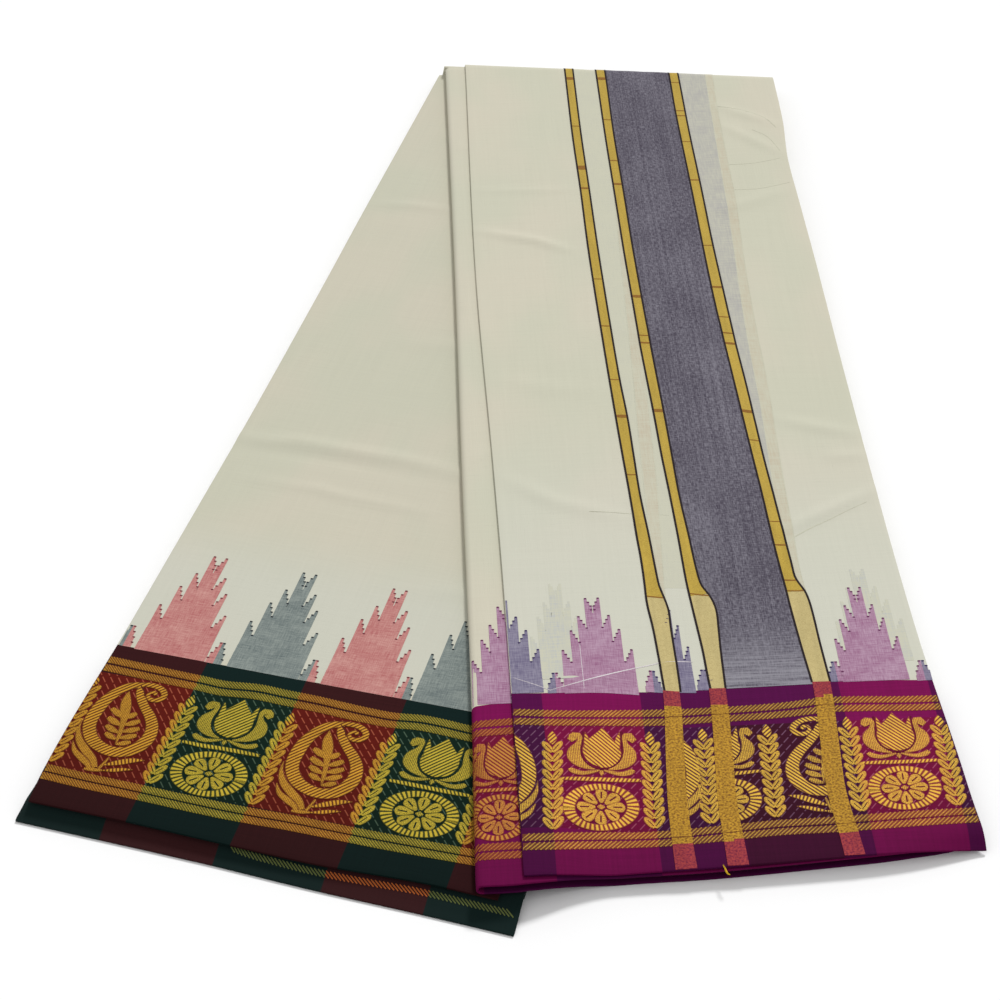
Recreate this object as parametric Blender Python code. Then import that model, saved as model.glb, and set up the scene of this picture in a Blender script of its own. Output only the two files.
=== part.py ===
"""A woven cotton dhoti, pleated lengthwise into a narrow strip, folded once across its middle and
laid down with its two halves, the legs, fanned apart.

Metres, +Z up. The work is done in the upper leg's own plan: X runs along that leg's selvedge, Y up
the leg to the fold, and 0, 0 is the top sheet's left selvedge corner. The lower leg has a plan of
its own, turned about its selvedge corner. At the end everything moves to stand centred on the origin.
"""
import math

import bmesh
import bpy
from mathutils import Vector

# ---------------------------------------------------------------- driving sizes
SHEET = 0.0010            # one sheet that shows, with its backing pleats pressed to it
GAP = 0.0003              # air between neighbouring sheets
LOWER_HIDDEN = 0.0036     # pleats inside the lower leg
UPPER_HIDDEN = 0.0028     # pleats inside the upper leg

LEG_LENGTH = 0.635        # half the width of the 1.27 m cloth
LEG_ANGLE = math.radians(17.7)        # the lower leg turns this far from the upper one
LOWER_CORNER = (-0.2067, 0.0535)      # its top sheet's left selvedge corner, in the upper leg's plan

FOLD_LEFT = (-0.0127, 0.6506)         # the line over which the layers turn, at its left end
FOLD_RIGHT = (0.1892, 0.6203)         # and at its right end
ROLL_LEFT_END = -0.0130               # the rolled layers end here in X, on the left
ROLL_RIGHT_INSET = 0.0020             # and this far inside the top sheet's right edge
# Ends of that roll. Columns: distance in from the end, part of the full radius.
ROLL_END = ((0.0042, 0.25), (0.0030, 0.30), (0.0028, 0.50), (0.0018, 0.54),
            (0.0016, 0.74), (0.0006, 0.80), (0.0000, 0.92), (0.0008, 1.00))
ROLL_STATIONS = 6
ARC_STEPS = 8

# Edges of the upper leg. Columns: distance up the leg, X of the edge.
TOP_LEFT_EDGE = ((0.00, 0.0000), (0.16, 0.0003), (0.26, -0.0005), (0.42, -0.0025), (0.64, 0.0000))
TOP_RIGHT_EDGE = ((0.00, 0.1938), (0.012, 0.1927), (0.03, 0.1915), (0.06, 0.1904), (0.13, 0.1872),
                  (0.24, 0.1860), (0.42, 0.1862), (0.48, 0.1856), (0.53, 0.1852), (0.57, 0.1880),
                  (0.62, 0.1892))
STRIP_EDGE = ((0.00, -0.0196), (0.10, -0.0174), (0.26, -0.0160), (0.42, -0.0140), (0.65, -0.0124))

# Selvedges of the upper leg. Columns: X, Y of the selvedge.
TOP_SELVEDGE = ((-0.02, -0.0040), (0.00, -0.0038), (0.03, -0.0003), (0.08, 0.0014), (0.135, 0.0040),
                (0.165, 0.0060), (0.19, 0.0082))
STRIP_SELVEDGE = ((-0.02, -0.0070), (0.00, -0.0066), (0.03, -0.0010), (0.08, 0.0008), (0.135, 0.0044),
                  (0.150, 0.0056), (0.165, 0.0074), (0.176, 0.0088), (0.183, 0.0104), (0.192, 0.0126))
UPPER_HIDDEN_END = ((-0.02, -0.0028), (0.00, -0.0022), (0.03, 0.0020), (0.08, 0.0036), (0.135, 0.0074),
                    (0.150, 0.0102), (0.165, 0.0150), (0.178, 0.0185), (0.192, 0.0215))

# How far the outer sheets drop to the surface at the free corner. Columns: X, drop.
CORNER_HANG = ((0.00, 0.0), (0.140, 0.0), (0.150, 0.0002), (0.165, 0.0012), (0.176, 0.0026), (0.192, 0.0050))
HANG_REACH = 0.011        # the drop fades out this far up from the top sheet's selvedge
HANG_LEAD = 0.0005        # and starts this much further up on the sheet below

# Edges of the lower leg, in its own plan. Columns: distance up the leg, distance across it.
LOWER_LEFT_EDGE = ((-0.01, -0.0052), (-0.004, -0.0045), (0.001, -0.0035), (0.009, -0.0027), (0.02, -0.0024),
                   (0.045, -0.0023), (0.07, -0.0016), (0.10, -0.0006), (0.15, 0.0001), (0.28, 0.0013),
                   (0.39, 0.0010), (0.47, 0.0003), (0.64, -0.0003))
LOWER_RIGHT_EDGE = ((-0.01, 0.2156), (0.30, 0.2110), (0.66, 0.2040))
LOWER_TOP_LEFT = ((0.00, -0.0010), (0.02, -0.0021), (0.045, -0.0022), (0.07, -0.0016), (0.10, -0.0006),
                  (0.15, 0.0001), (0.28, 0.0013), (0.39, 0.0010), (0.47, 0.0003), (0.64, -0.0003))
LOWER_TOP_RIGHT = ((0.00, 0.2058), (0.30, 0.2010), (0.66, 0.1940))

# Selvedges of the lower leg. Columns: distance across the leg, distance along it.
LOWER_TOP_SELVEDGE = ((-0.01, 0.0014), (0.043, 0.0008), (0.092, -0.0006), (0.129, -0.0013),
                      (0.174, 0.0001), (0.21, -0.0010))
LOWER_UNDER_SELVEDGE = ((-0.004, -0.0060), (0.080, -0.0080), (0.130, -0.0102), (0.175, -0.0113),
                        (0.216, -0.0128))
LOWER_HIDDEN_END = 0.0040
# The under sheet hangs to the surface past the pleats. Columns: part of the way in, drop.
UNDER_HANG = ((0.0, 0.0039), (0.22, 0.0031), (0.50, 0.0017), (0.78, 0.0005), (1.0, 0.0))
UNDER_HANG_END = 0.0052   # distance along the leg where that hang starts

# Where the upper leg comes down past the lower one's right edge. Columns: distance up, value.
COMES_OFF = 0.0010                                            # starts this far inside that edge
DRAPE_WIDTH = ((0.00, 0.034), (0.15, 0.055), (0.40, 0.080), (0.66, 0.090))

# Side rings of a stack of pleats. Columns: part of the height, how far the ring stands out.
PLEAT_SIDE = ((0.02, 0.0004), (0.10, 0.0009), (0.22, 0.0009), (0.30, 0.0004),
              (0.36, 0.0005), (0.44, 0.0011), (0.57, 0.0011), (0.64, 0.0003),
              (0.70, 0.0004), (0.78, 0.0008), (0.90, 0.0008), (0.98, 0.0004))

# Grid lines across the upper leg, as parts of its top sheet, and rows above the selvedge.
UPPER_COLUMNS = (0.0, 0.037, 0.074, 0.111, 0.15, 0.19, 0.26, 0.36, 0.47, 0.58, 0.69, 0.80, 0.90, 1.0)
FOOT_ROWS = (0.0, 0.003, 0.006, 0.009, 0.013, 0.020, 0.030, 0.048, 0.072)
LEG_ROWS = 12             # rows from the last foot row to the fold
LOWER_COLUMNS = 8
LOWER_ROWS = 16

# ---------------------------------------------------------------- derived sizes
LOWER_UNDER_BASE = LOWER_HIDDEN + GAP
LOWER_TOP_BASE = LOWER_UNDER_BASE + SHEET + GAP
UPPER_BASE = LOWER_TOP_BASE + SHEET + GAP                     # the upper leg lies on this height
STRIP_TOP = 2 * SHEET + 2 * GAP + UPPER_HIDDEN                # outer face of the strip, above that base
UPPER_TOP = STRIP_TOP + GAP + SHEET                           # face of the top sheet, above that base
FOLD_HEIGHT = (UPPER_BASE + UPPER_TOP) / 2                    # the layers turn about this height
STRIP_RADIUS = STRIP_TOP / 2


def along(table, at):
    """Read a smooth curve through a table's rows."""
    rows = list(table)
    if at <= rows[0][0]:
        return rows[0][1]
    if at >= rows[-1][0]:
        return rows[-1][1]
    index = next(i for i in range(len(rows) - 1) if at <= rows[i + 1][0])
    (x0, y0), (x1, y1) = rows[index], rows[index + 1]

    def slope(i):
        before, after = rows[max(i - 1, 0)], rows[min(i + 1, len(rows) - 1)]
        return (after[1] - before[1]) / (after[0] - before[0])

    span = x1 - x0
    t = (at - x0) / span
    start = (2 * t ** 3 - 3 * t ** 2 + 1) * y0 + (t ** 3 - 2 * t ** 2 + t) * span * slope(index)
    end = (3 * t ** 2 - 2 * t ** 3) * y1 + (t ** 3 - t ** 2) * span * slope(index + 1)
    return start + end


def smooth_step(t):
    t = min(max(t, 0.0), 1.0)
    return t * t * (3 - 2 * t)


def lerp(a, b, t):
    return a + (b - a) * t


# ---------------------------------------------------------------- plans of the two legs
def lower_to_upper(across, up):
    """A place in the lower leg's plan, given in the upper leg's plan."""
    sine, cosine = math.sin(LEG_ANGLE), math.cos(LEG_ANGLE)
    return (LOWER_CORNER[0] + across * cosine + up * sine,
            LOWER_CORNER[1] - across * sine + up * cosine)


def upper_to_lower(x, y):
    sine, cosine = math.sin(LEG_ANGLE), math.cos(LEG_ANGLE)
    dx, dy = x - LOWER_CORNER[0], y - LOWER_CORNER[1]
    return dx * cosine - dy * sine, dx * sine + dy * cosine


def fold_y(x):
    """The turning line of the fold, in the upper leg's plan."""
    return lerp(FOLD_LEFT[1], FOLD_RIGHT[1], (x - FOLD_LEFT[0]) / (FOLD_RIGHT[0] - FOLD_LEFT[0]))


def fold_up(across):
    """The same line, in the lower leg's plan."""
    left, right = upper_to_lower(*FOLD_LEFT), upper_to_lower(*FOLD_RIGHT)
    return lerp(left[1], right[1], (across - left[0]) / (right[0] - left[0]))


FOLD_RUN = Vector((FOLD_RIGHT[0] - FOLD_LEFT[0], FOLD_RIGHT[1] - FOLD_LEFT[1], 0)).normalized()
FOLD_BACK = Vector((-FOLD_RUN.y, FOLD_RUN.x, 0))
FOLD_DRIFT = FOLD_RUN * (FOLD_RUN.y / FOLD_RUN.x)     # how a thread runs sideways as it turns the fold


def drape(x, y):
    """Height of what the upper leg lies on: the lower leg, then the surface beyond its edge."""
    across, up = upper_to_lower(x, y)
    past_edge = across - (along(LOWER_RIGHT_EDGE, up) - COMES_OFF)
    return UPPER_BASE * (1 - smooth_step(past_edge / along(DRAPE_WIDTH, up)))


# ---------------------------------------------------------------- solids from grids
def new_object(name, colour, roughness, build):
    """One named object with its own material, from a function that fills a bmesh."""
    mesh = bpy.data.meshes.new(name)
    made = bmesh.new()
    build(made)
    bmesh.ops.recalc_face_normals(made, faces=made.faces)
    made.to_mesh(mesh)
    made.free()
    material = bpy.data.materials.new(name + "_cloth")
    material.use_nodes = True
    shader = material.node_tree.nodes["Principled BSDF"]
    shader.inputs["Base Color"].default_value = (*colour, 1)
    shader.inputs["Roughness"].default_value = roughness
    shader.inputs["Metallic"].default_value = 0.0
    mesh.materials.append(material)
    placed = bpy.data.objects.new(name, mesh)
    bpy.context.scene.collection.objects.link(placed)
    return placed


def quad(made, a, b, c, d):
    """Two triangles, cut along the diagonal that runs up to the right, so that stacked sheets match."""
    run = c.co - a.co
    if run.x * run.y < 0:
        a, b, c, d = b, c, d, a
    made.faces.new((a, b, c))
    made.faces.new((a, c, d))


def skin(made, grid):
    for row, next_row in zip(grid, grid[1:]):
        for i in range(len(row) - 1):
            quad(made, row[i], row[i + 1], next_row[i + 1], next_row[i])


def rim(grid):
    """The points round a grid's border, in order."""
    right = [row[-1] for row in grid[1:-1]]
    left = [row[0] for row in reversed(grid[1:-1])]
    return list(grid[0]) + right + list(reversed(grid[-1])) + left


def band(made, ring_a, ring_b):
    count = len(ring_a)
    for i in range(count):
        quad(made, ring_a[i], ring_a[(i + 1) % count], ring_b[(i + 1) % count], ring_b[i])


def sheet_solid(name, colour, outer, inner):
    """A wall of cloth between two grids of points."""
    def build(made):
        outer_points = [[made.verts.new(p) for p in row] for row in outer]
        inner_points = [[made.verts.new(p) for p in row] for row in inner]
        skin(made, outer_points)
        skin(made, inner_points)
        band(made, rim(outer_points), rim(inner_points))
    return new_object(name, colour, 0.85, build)


def pleat_stack(name, colour, top, bottom):
    """A stack of hidden pleats between two grids, with each pleat rounded at the sides."""
    def build(made):
        top_points = [[made.verts.new(p) for p in row] for row in top]
        bottom_points = [[made.verts.new(p) for p in row] for row in bottom]
        skin(made, top_points)
        skin(made, bottom_points)
        high, low = rim(top), rim(bottom)
        count = len(high)
        outward = []
        for i in range(count):
            run = high[(i + 1) % count] - high[i - 1]
            outward.append(Vector((run.y, -run.x, 0)).normalized())
        ring = rim(bottom_points)
        for part, stands_out in PLEAT_SIDE:
            places = [low[i].lerp(high[i], part) + outward[i] * stands_out for i in range(count)]
            next_ring = [made.verts.new(p) for p in places]
            band(made, ring, next_ring)
            ring = next_ring
        band(made, ring, rim(top_points))
    return new_object(name, colour, 0.85, build)


# ---------------------------------------------------------------- the upper leg
def across_upper(column, shift, y):
    """X at a column: 0 to 1 over the top sheet, -1 at the strip's edge, then moved by a shift."""
    left = along(TOP_LEFT_EDGE, y)
    if column < 0:
        return lerp(left, along(STRIP_EDGE, y), -column) + shift
    return lerp(left, along(TOP_RIGHT_EDGE, y), column) + shift


def upper_row_places(selvedge, column, shift):
    """Y of each row from a selvedge to the fold, for one column."""
    start = along(selvedge, across_upper(column, shift, 0.0))
    end = fold_y(across_upper(column, shift, LEG_LENGTH))
    foot = [start + offset for offset in FOOT_ROWS]
    body = [lerp(foot[-1], end, (i + 1) / LEG_ROWS) for i in range(LEG_ROWS)]
    return foot + body


def upper_point(column, shift, y, level):
    x = across_upper(column, shift, y)
    return Vector((x, y, drape(x, y) + level))


def corner_drop(x, y):
    """How far the outer sheets drop at a place near the free corner."""
    fade = max(0.0, 1 - (y - along(TOP_SELVEDGE, x)) / HANG_REACH)
    return along(CORNER_HANG, x) * min(fade, 1.0) ** 2


def upper_grid(profile, selvedge, stop_short=0.0, drop_above=None, lead=0.0):
    """Rows of points up the leg. A profile's rows hold column, shift and level."""
    rows = []
    places = [upper_row_places(selvedge, column, shift) for column, shift, _ in profile]
    for r in range(len(FOOT_ROWS) + LEG_ROWS):
        row = []
        for (column, shift, level), ys in zip(profile, places):
            y = ys[r] - (stop_short if r == len(ys) - 1 else 0.0)
            point = upper_point(column, shift, y, level)
            if drop_above is not None and level > drop_above:
                point.z -= corner_drop(point.x, y - lead)
            row.append(point)
        rows.append(row)
    return rows


def round_fold(x, radius, angle):
    """A place on the turn of the fold, where threads drift sideways because the legs are fanned."""
    centre = Vector((x, fold_y(x), FOLD_HEIGHT)) + FOLD_DRIFT * FOLD_HEIGHT * angle
    return centre + FOLD_BACK * radius * math.sin(angle) + Vector((0, 0, radius * math.cos(angle)))


def fold_rows(profile):
    """The rows that carry a sheet on round the fold and down to the surface."""
    rows = []
    for step in range(1, ARC_STEPS + 1):
        angle = math.pi * step / ARC_STEPS
        row = []
        for column, shift, level in profile:
            x = across_upper(column, shift, LEG_LENGTH)
            row.append(round_fold(x, UPPER_BASE + level - FOLD_HEIGHT, angle))
        rows.append(row)
    return rows


def right_leg_top_sheet():
    """The outermost sheet: up the leg, round the fold, down to the surface."""
    outer_profile = [(c, 0.0, UPPER_TOP) for c in UPPER_COLUMNS]
    inner_profile = [(c, 0.0, UPPER_TOP - SHEET) for c in UPPER_COLUMNS]
    outer = upper_grid(outer_profile, TOP_SELVEDGE, drop_above=0.0) + fold_rows(outer_profile)
    inner = upper_grid(inner_profile, TOP_SELVEDGE, drop_above=0.0) + fold_rows(inner_profile)
    return sheet_solid("right_leg_top_sheet", (0.68, 0.65, 0.52), outer, inner)


def strip_profile(face):
    """Section of the second fold: below the pleats, round its edge, back over them."""
    offset = 0.0 if face == "outer" else SHEET
    flats = [(c, 0.0) for c in UPPER_COLUMNS[:-1]] + [(1.0, -0.0016)]
    below = [(c, s, offset) for c, s in reversed(flats)]
    over = [(c, s, STRIP_TOP - offset) for c, s in flats]
    radius = STRIP_RADIUS - offset
    bend = []
    for step in range(7):
        angle = math.pi * step / 6
        bend.append((-1.0, STRIP_RADIUS - radius * math.sin(angle), STRIP_RADIUS - radius * math.cos(angle)))
    return below + [(-0.35, 0.0, offset)] + bend + [(-0.35, 0.0, STRIP_TOP - offset)] + over


def right_leg_second_fold():
    """The next fold down, which shows as a strip at the left with its mouth open at the foot."""
    outer, inner = [upper_grid(strip_profile(face), STRIP_SELVEDGE, GAP, STRIP_RADIUS, HANG_LEAD)
                    for face in ("outer", "inner")]
    return sheet_solid("right_leg_second_fold", (0.66, 0.63, 0.51), outer, inner)


def right_leg_folds():
    """The hidden pleats of the upper leg."""
    columns = [(-1.0, 0.0062), (-0.35, 0.0)] + [(c, 0.0) for c in UPPER_COLUMNS[:-1]] + [(1.0, -0.0050)]
    bottom = [(c, s, SHEET + GAP) for c, s in columns]
    top = [(c, s, SHEET + GAP + UPPER_HIDDEN) for c, s in columns]
    return pleat_stack("right_leg_folds", (0.24, 0.05, 0.17),
                       upper_grid(top, UPPER_HIDDEN_END, stop_short=0.0020),
                       upper_grid(bottom, UPPER_HIDDEN_END, stop_short=0.0020))


# ---------------------------------------------------------------- the lower leg
def lower_grid(left_edge, right_edge, foot, rows_in, height, stop_short=0.0, drops=None):
    """Rows of points up the lower leg. rows_in are distances above the foot, before the even rows."""
    rows = []
    for r in range(len(rows_in) + LOWER_ROWS):
        row = []
        for i in range(LOWER_COLUMNS + 1):
            part = i / LOWER_COLUMNS
            start = foot(lerp(along(left_edge, 0.0), along(right_edge, 0.0), part))
            end = fold_up(lerp(along(left_edge, LEG_LENGTH), along(right_edge, LEG_LENGTH), part))
            last = start + rows_in[-1](start)
            if r < len(rows_in):
                up = start + rows_in[r](start)
            else:
                up = lerp(last, end - stop_short, (r - len(rows_in) + 1) / LOWER_ROWS)
            across = lerp(along(left_edge, up), along(right_edge, up), part)
            drop = drops[r] if drops and r < len(drops) else 0.0
            row.append(Vector((*lower_to_upper(across, up), height - drop)))
        rows.append(row)
    return rows


def left_leg_top_sheet():
    def foot(across):
        return along(LOWER_TOP_SELVEDGE, across)

    rows_in = [lambda start: 0.0]
    grids = [lower_grid(LOWER_TOP_LEFT, LOWER_TOP_RIGHT, foot, rows_in, height, stop_short=0.0006)
             for height in (LOWER_TOP_BASE + SHEET, LOWER_TOP_BASE)]
    return sheet_solid("left_leg_top_sheet", (0.67, 0.65, 0.52), *grids)


def left_leg_under_sheet():
    """The sheet below it, longer at the foot, where it hangs to the surface past the pleats."""
    def foot(across):
        return along(LOWER_UNDER_SELVEDGE, across)

    def reach(part):
        return lambda start: part * (UNDER_HANG_END - start)

    rows_in = [reach(part) for part, _ in UNDER_HANG]
    drops = [drop for _, drop in UNDER_HANG]
    grids = [lower_grid(LOWER_LEFT_EDGE, LOWER_RIGHT_EDGE, foot, rows_in, height, 0.0006, drops)
             for height in (LOWER_UNDER_BASE + SHEET, LOWER_UNDER_BASE)]
    return sheet_solid("left_leg_under_sheet", (0.10, 0.08, 0.06), *grids)


def left_leg_folds():
    """The hidden pleats of the lower leg, flat on the surface."""
    inset = PLEAT_SIDE[5][1]
    left = [(up, edge + inset) for up, edge in LOWER_LEFT_EDGE]
    right = [(up, edge - inset) for up, edge in LOWER_RIGHT_EDGE]
    rows_in = [lambda start: 0.0]
    grids = [lower_grid(left, right, lambda across: LOWER_HIDDEN_END, rows_in, height, stop_short=0.0020)
             for height in (LOWER_HIDDEN, 0.0)]
    return pleat_stack("left_leg_folds", (0.60, 0.58, 0.47), *grids)


# ---------------------------------------------------------------- the fold
def top_fold_roll():
    """The inner layers where they turn at the fold: a half round whose two ends step in, layer by layer."""
    full = STRIP_TOP + UPPER_BASE - FOLD_HEIGHT
    left, right = ROLL_LEFT_END, FOLD_RIGHT[0] - ROLL_RIGHT_INSET
    stations = [(left + inset, part) for inset, part in ROLL_END]
    stations += [(lerp(left, right, i / ROLL_STATIONS), 1.0) for i in range(1, ROLL_STATIONS)]
    stations += [(right - inset, part) for inset, part in reversed(ROLL_END)]
    angles = [math.pi * step / ARC_STEPS for step in range(ARC_STEPS + 1)]

    def place(x, radius, angle):
        """The roll drifts by height, which keeps each of its sections flat and parallel to the next."""
        height = radius * math.cos(angle)
        drift = FOLD_DRIFT * FOLD_HEIGHT * math.pi * (1 - height / full) / 2
        centre = Vector((x, fold_y(x), FOLD_HEIGHT + height)) + drift
        return centre + FOLD_BACK * radius * math.sin(angle)

    def build(made):
        sections = [[made.verts.new(place(x, full * part, angle)) for angle in angles]
                    for x, part in stations]
        skin(made, sections)
        made.faces.new(sections[0])
        made.faces.new(sections[-1])
        back = [section[0] for section in sections] + [section[-1] for section in reversed(sections)]
        bmesh.ops.triangulate(made, faces=[made.faces.new(back)])
    return new_object("top_fold_roll", (0.66, 0.63, 0.51), 0.85, build)


# ---------------------------------------------------------------- the whole
def main():
    for old in list(bpy.data.objects):
        bpy.data.objects.remove(old)
    made = [left_leg_folds(), left_leg_under_sheet(), left_leg_top_sheet(), right_leg_folds(),
            right_leg_second_fold(), right_leg_top_sheet(), top_fold_roll()]
    points = [v.co for piece in made for v in piece.data.vertices]
    lows = [min(p[k] for p in points) for k in range(3)]
    highs = [max(p[k] for p in points) for k in range(3)]
    centre = Vector(((lows[0] + highs[0]) / 2, (lows[1] + highs[1]) / 2, lows[2]))
    for piece in made:
        for vertex in piece.data.vertices:
            vertex.co -= centre


main()
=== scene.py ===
"""The looks of a folded cotton dhoti with a maroon and green zari border on one selvedge and a
magenta and purple one on the other.

Metres, +Z up. Patterns are given in millimetres in each leg's own plan: u runs across the leg and
v up it from the selvedge. Every layer of the stack has one function that lays a spot of that plan,
raised by a given height, on the cloth.
"""
import math

import bpy
from mathutils import Matrix, Vector, noise


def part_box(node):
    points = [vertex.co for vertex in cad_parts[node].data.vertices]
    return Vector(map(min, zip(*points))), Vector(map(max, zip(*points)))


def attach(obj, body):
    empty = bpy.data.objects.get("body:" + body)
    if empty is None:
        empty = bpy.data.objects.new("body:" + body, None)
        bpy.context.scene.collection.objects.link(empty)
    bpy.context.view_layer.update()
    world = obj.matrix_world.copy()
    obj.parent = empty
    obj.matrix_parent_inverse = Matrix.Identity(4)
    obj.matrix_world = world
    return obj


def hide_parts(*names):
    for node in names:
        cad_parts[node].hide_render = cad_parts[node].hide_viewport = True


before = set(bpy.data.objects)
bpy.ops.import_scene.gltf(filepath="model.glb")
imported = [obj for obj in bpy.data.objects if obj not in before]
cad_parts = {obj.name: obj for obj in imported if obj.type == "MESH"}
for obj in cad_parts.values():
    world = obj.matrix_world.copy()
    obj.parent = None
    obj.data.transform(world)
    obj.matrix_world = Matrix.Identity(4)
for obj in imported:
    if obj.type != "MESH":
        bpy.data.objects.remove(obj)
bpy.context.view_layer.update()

# ---------------------------------------------------------------- table, lights and view
# The cloth lies on a matt white table top. A broad lamp far beyond its right end shows the folds,
# and the white room fills the shadows. The camera stands at the foot and looks up the legs.
TABLE_HALF = 4.0          # half the table's width
TABLE_COLOUR, TABLE_ROUGHNESS = (0.96, 0.96, 0.96, 1), 0.9
CAMERA_AT = (-0.0200, -0.9166, 0.7240)
VIEW_TILT, VIEW_TURN, VIEW_ROLL = math.radians(49.50), math.radians(-2.18), math.radians(-0.88)
LENS_MM, SENSOR_MM = 81.43, 36
ROOM_COLOUR, ROOM_LIGHT = (1, 1, 1, 1), 0.62
LAMP_AT, LAMP_SPREAD, LAMP_STRENGTH = (1.9, 4.1, 4.0), math.radians(10), 2.10

corners = [(x * TABLE_HALF, y * TABLE_HALF, 0) for x, y in ((-1, -1), (1, -1), (1, 1), (-1, 1))]
table_mesh = bpy.data.meshes.new("table_top")
table_mesh.from_pydata(corners, [], [(0, 1, 2, 3)])
table = bpy.data.objects.new("table_top", table_mesh)
bpy.context.scene.collection.objects.link(table)
table_paint = bpy.data.materials.new("matt_white")
table_paint.use_nodes = True
table_shader = table_paint.node_tree.nodes["Principled BSDF"]
table_shader.inputs["Base Color"].default_value = TABLE_COLOUR
table_shader.inputs["Roughness"].default_value = TABLE_ROUGHNESS
table_mesh.materials.append(table_paint)

room = bpy.data.worlds.new("white_room")
room.use_nodes = True
room_glow = room.node_tree.nodes["Background"]
room_glow.inputs["Color"].default_value = ROOM_COLOUR
room_glow.inputs["Strength"].default_value = ROOM_LIGHT
bpy.context.scene.world = room

lamp_light = bpy.data.lights.new("far_lamp", "SUN")
lamp_light.energy = LAMP_STRENGTH
lamp_light.angle = LAMP_SPREAD
lamp = bpy.data.objects.new("far_lamp", lamp_light)
lamp.location = LAMP_AT
lamp.rotation_euler = (-Vector(LAMP_AT)).to_track_quat("-Z", "Y").to_euler()
bpy.context.scene.collection.objects.link(lamp)

lens = bpy.data.cameras.new("view")
lens.lens = LENS_MM
lens.sensor_width = SENSOR_MM
camera = bpy.data.objects.new("view", lens)
aimed = Matrix.Rotation(VIEW_TURN, 4, "Z") @ Matrix.Rotation(VIEW_TILT, 4, "X")
camera.matrix_world = Matrix.Translation(CAMERA_AT) @ (aimed @ Matrix.Rotation(VIEW_ROLL, 4, "Z"))
bpy.context.scene.collection.objects.link(camera)
bpy.context.scene.camera = camera
bpy.context.scene.view_settings.view_transform = "Standard"

# ---------------------------------------------------------------- left leg, hidden pleats
# Inside the left leg, the cloth is pleated to and fro. The pleats lie flat on the table as one
# pressed stack, and show as rounded edges at its sides and foot. Undyed cotton, dyed at the foot.
MM = 0.001
SHEET = 1.0               # a sheet that shows, with its backing ply pressed to it, in mm
GAP = 0.3                 # air between sheets
LEG_ANGLE = math.radians(17.7)        # between the legs
LEFT_CORNER = (-206.7, 53.5)          # the left leg's selvedge corner, in the right leg's plan, mm
FOLD_LEFT, FOLD_RIGHT = (-12.7, 650.6), (189.2, 620.3)     # ends of the line where the cloth turns over
LEG_FOOT, BORDER_END, LEG_END = 0.0, 100.0, 635.0     # about where these are, up a leg's plan
RIGHT_LEG_CORNER = (193.02, -3.8)     # its farthest right and its lowest place, in its plan
top_low, top_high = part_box("right_leg_top_sheet")
PLAN_AT = (top_high.x / MM - RIGHT_LEG_CORNER[0], top_low.y / MM - RIGHT_LEG_CORNER[1])

# Columns: distance up the leg, where the edge is across it.
LEFT_SIDE_ABOVE = ((70, -1.6), (100, -0.6), (150, 0.1), (280, 1.3), (390, 1.0), (470, 0.3), (640, -0.3))
LEFT_LEG_LEFT = ((-10, -5.2), (-4, -4.5), (1, -3.5), (9, -2.7), (20, -2.4), (45, -2.3), *LEFT_SIDE_ABOVE)
LEFT_LEG_RIGHT = ((-10, 215.6), (300, 211.0), (660, 204.0))
# Folds of the hidden stack. Columns: part of its height at the bottom and at the top, insets at the
# left, the right and the foot.
LEFT_PLEATS = ((0.00, 0.14, 0.2, 0.9, 0.8), (0.16, 0.31, 0.9, 0.3, 2.6), (0.33, 0.47, 0.3, 1.4, 1.2),
               (0.50, 0.64, 1.2, 0.4, 3.6), (0.67, 0.81, 0.4, 1.0, 0.2), (0.84, 1.00, 1.6, 0.6, 2.2))
LEFT_STACK_HEIGHT = 3.6
LEFT_STACK_FOOT = 4.0
LEFT_PLEAT_BORDER = 98.6  # top of the hidden cloth's plain border
LEFT_PLEAT_REACH, LEFT_PLEAT_ROOM = 0.45, 0.5         # a pleat's rounded edge, and the room kept for it
PLEATS_END = 2.0          # hidden pleats stop this far before the fold


def along(table_rows, at):
    """Read a smooth curve through a table's rows."""
    if at <= table_rows[0][0]:
        return table_rows[0][1]
    if at >= table_rows[-1][0]:
        return table_rows[-1][1]
    i = next(k for k in range(len(table_rows) - 1) if at <= table_rows[k + 1][0])
    (x0, y0), (x1, y1) = table_rows[i], table_rows[i + 1]
    before, after = table_rows[max(i - 1, 0)], table_rows[min(i + 2, len(table_rows) - 1)]
    slope0 = (y1 - before[1]) / (x1 - before[0])
    slope1 = (after[1] - y0) / (after[0] - x0)
    t = (at - x0) / (x1 - x0)
    start = (2 * t ** 3 - 3 * t ** 2 + 1) * y0 + (t ** 3 - 2 * t ** 2 + t) * (x1 - x0) * slope0
    return start + (3 * t ** 2 - 2 * t ** 3) * y1 + (t ** 3 - t ** 2) * (x1 - x0) * slope1


def moved(edge, by):
    """An edge's rows, moved across the leg by so many mm."""
    return tuple((v, u + by) for v, u in edge)


def mix(a, b, t):
    return a + (b - a) * t


def smooth_step(t):
    t = min(max(t, 0.0), 1.0)
    return t * t * (3 - 2 * t)


def left_to_right(u, v):
    """A place in the left leg's plan, given in the right leg's plan."""
    sine, cosine = math.sin(LEG_ANGLE), math.cos(LEG_ANGLE)
    return LEFT_CORNER[0] + u * cosine + v * sine, LEFT_CORNER[1] - u * sine + v * cosine


def right_to_left(x, y):
    sine, cosine = math.sin(LEG_ANGLE), math.cos(LEG_ANGLE)
    dx, dy = x - LEFT_CORNER[0], y - LEFT_CORNER[1]
    return dx * cosine - dy * sine, dx * sine + dy * cosine


def on_table(x, y, z):
    """A place in the right leg's plan, in mm, as a place in the room."""
    return Vector((x + PLAN_AT[0], y + PLAN_AT[1], z)) * MM


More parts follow.
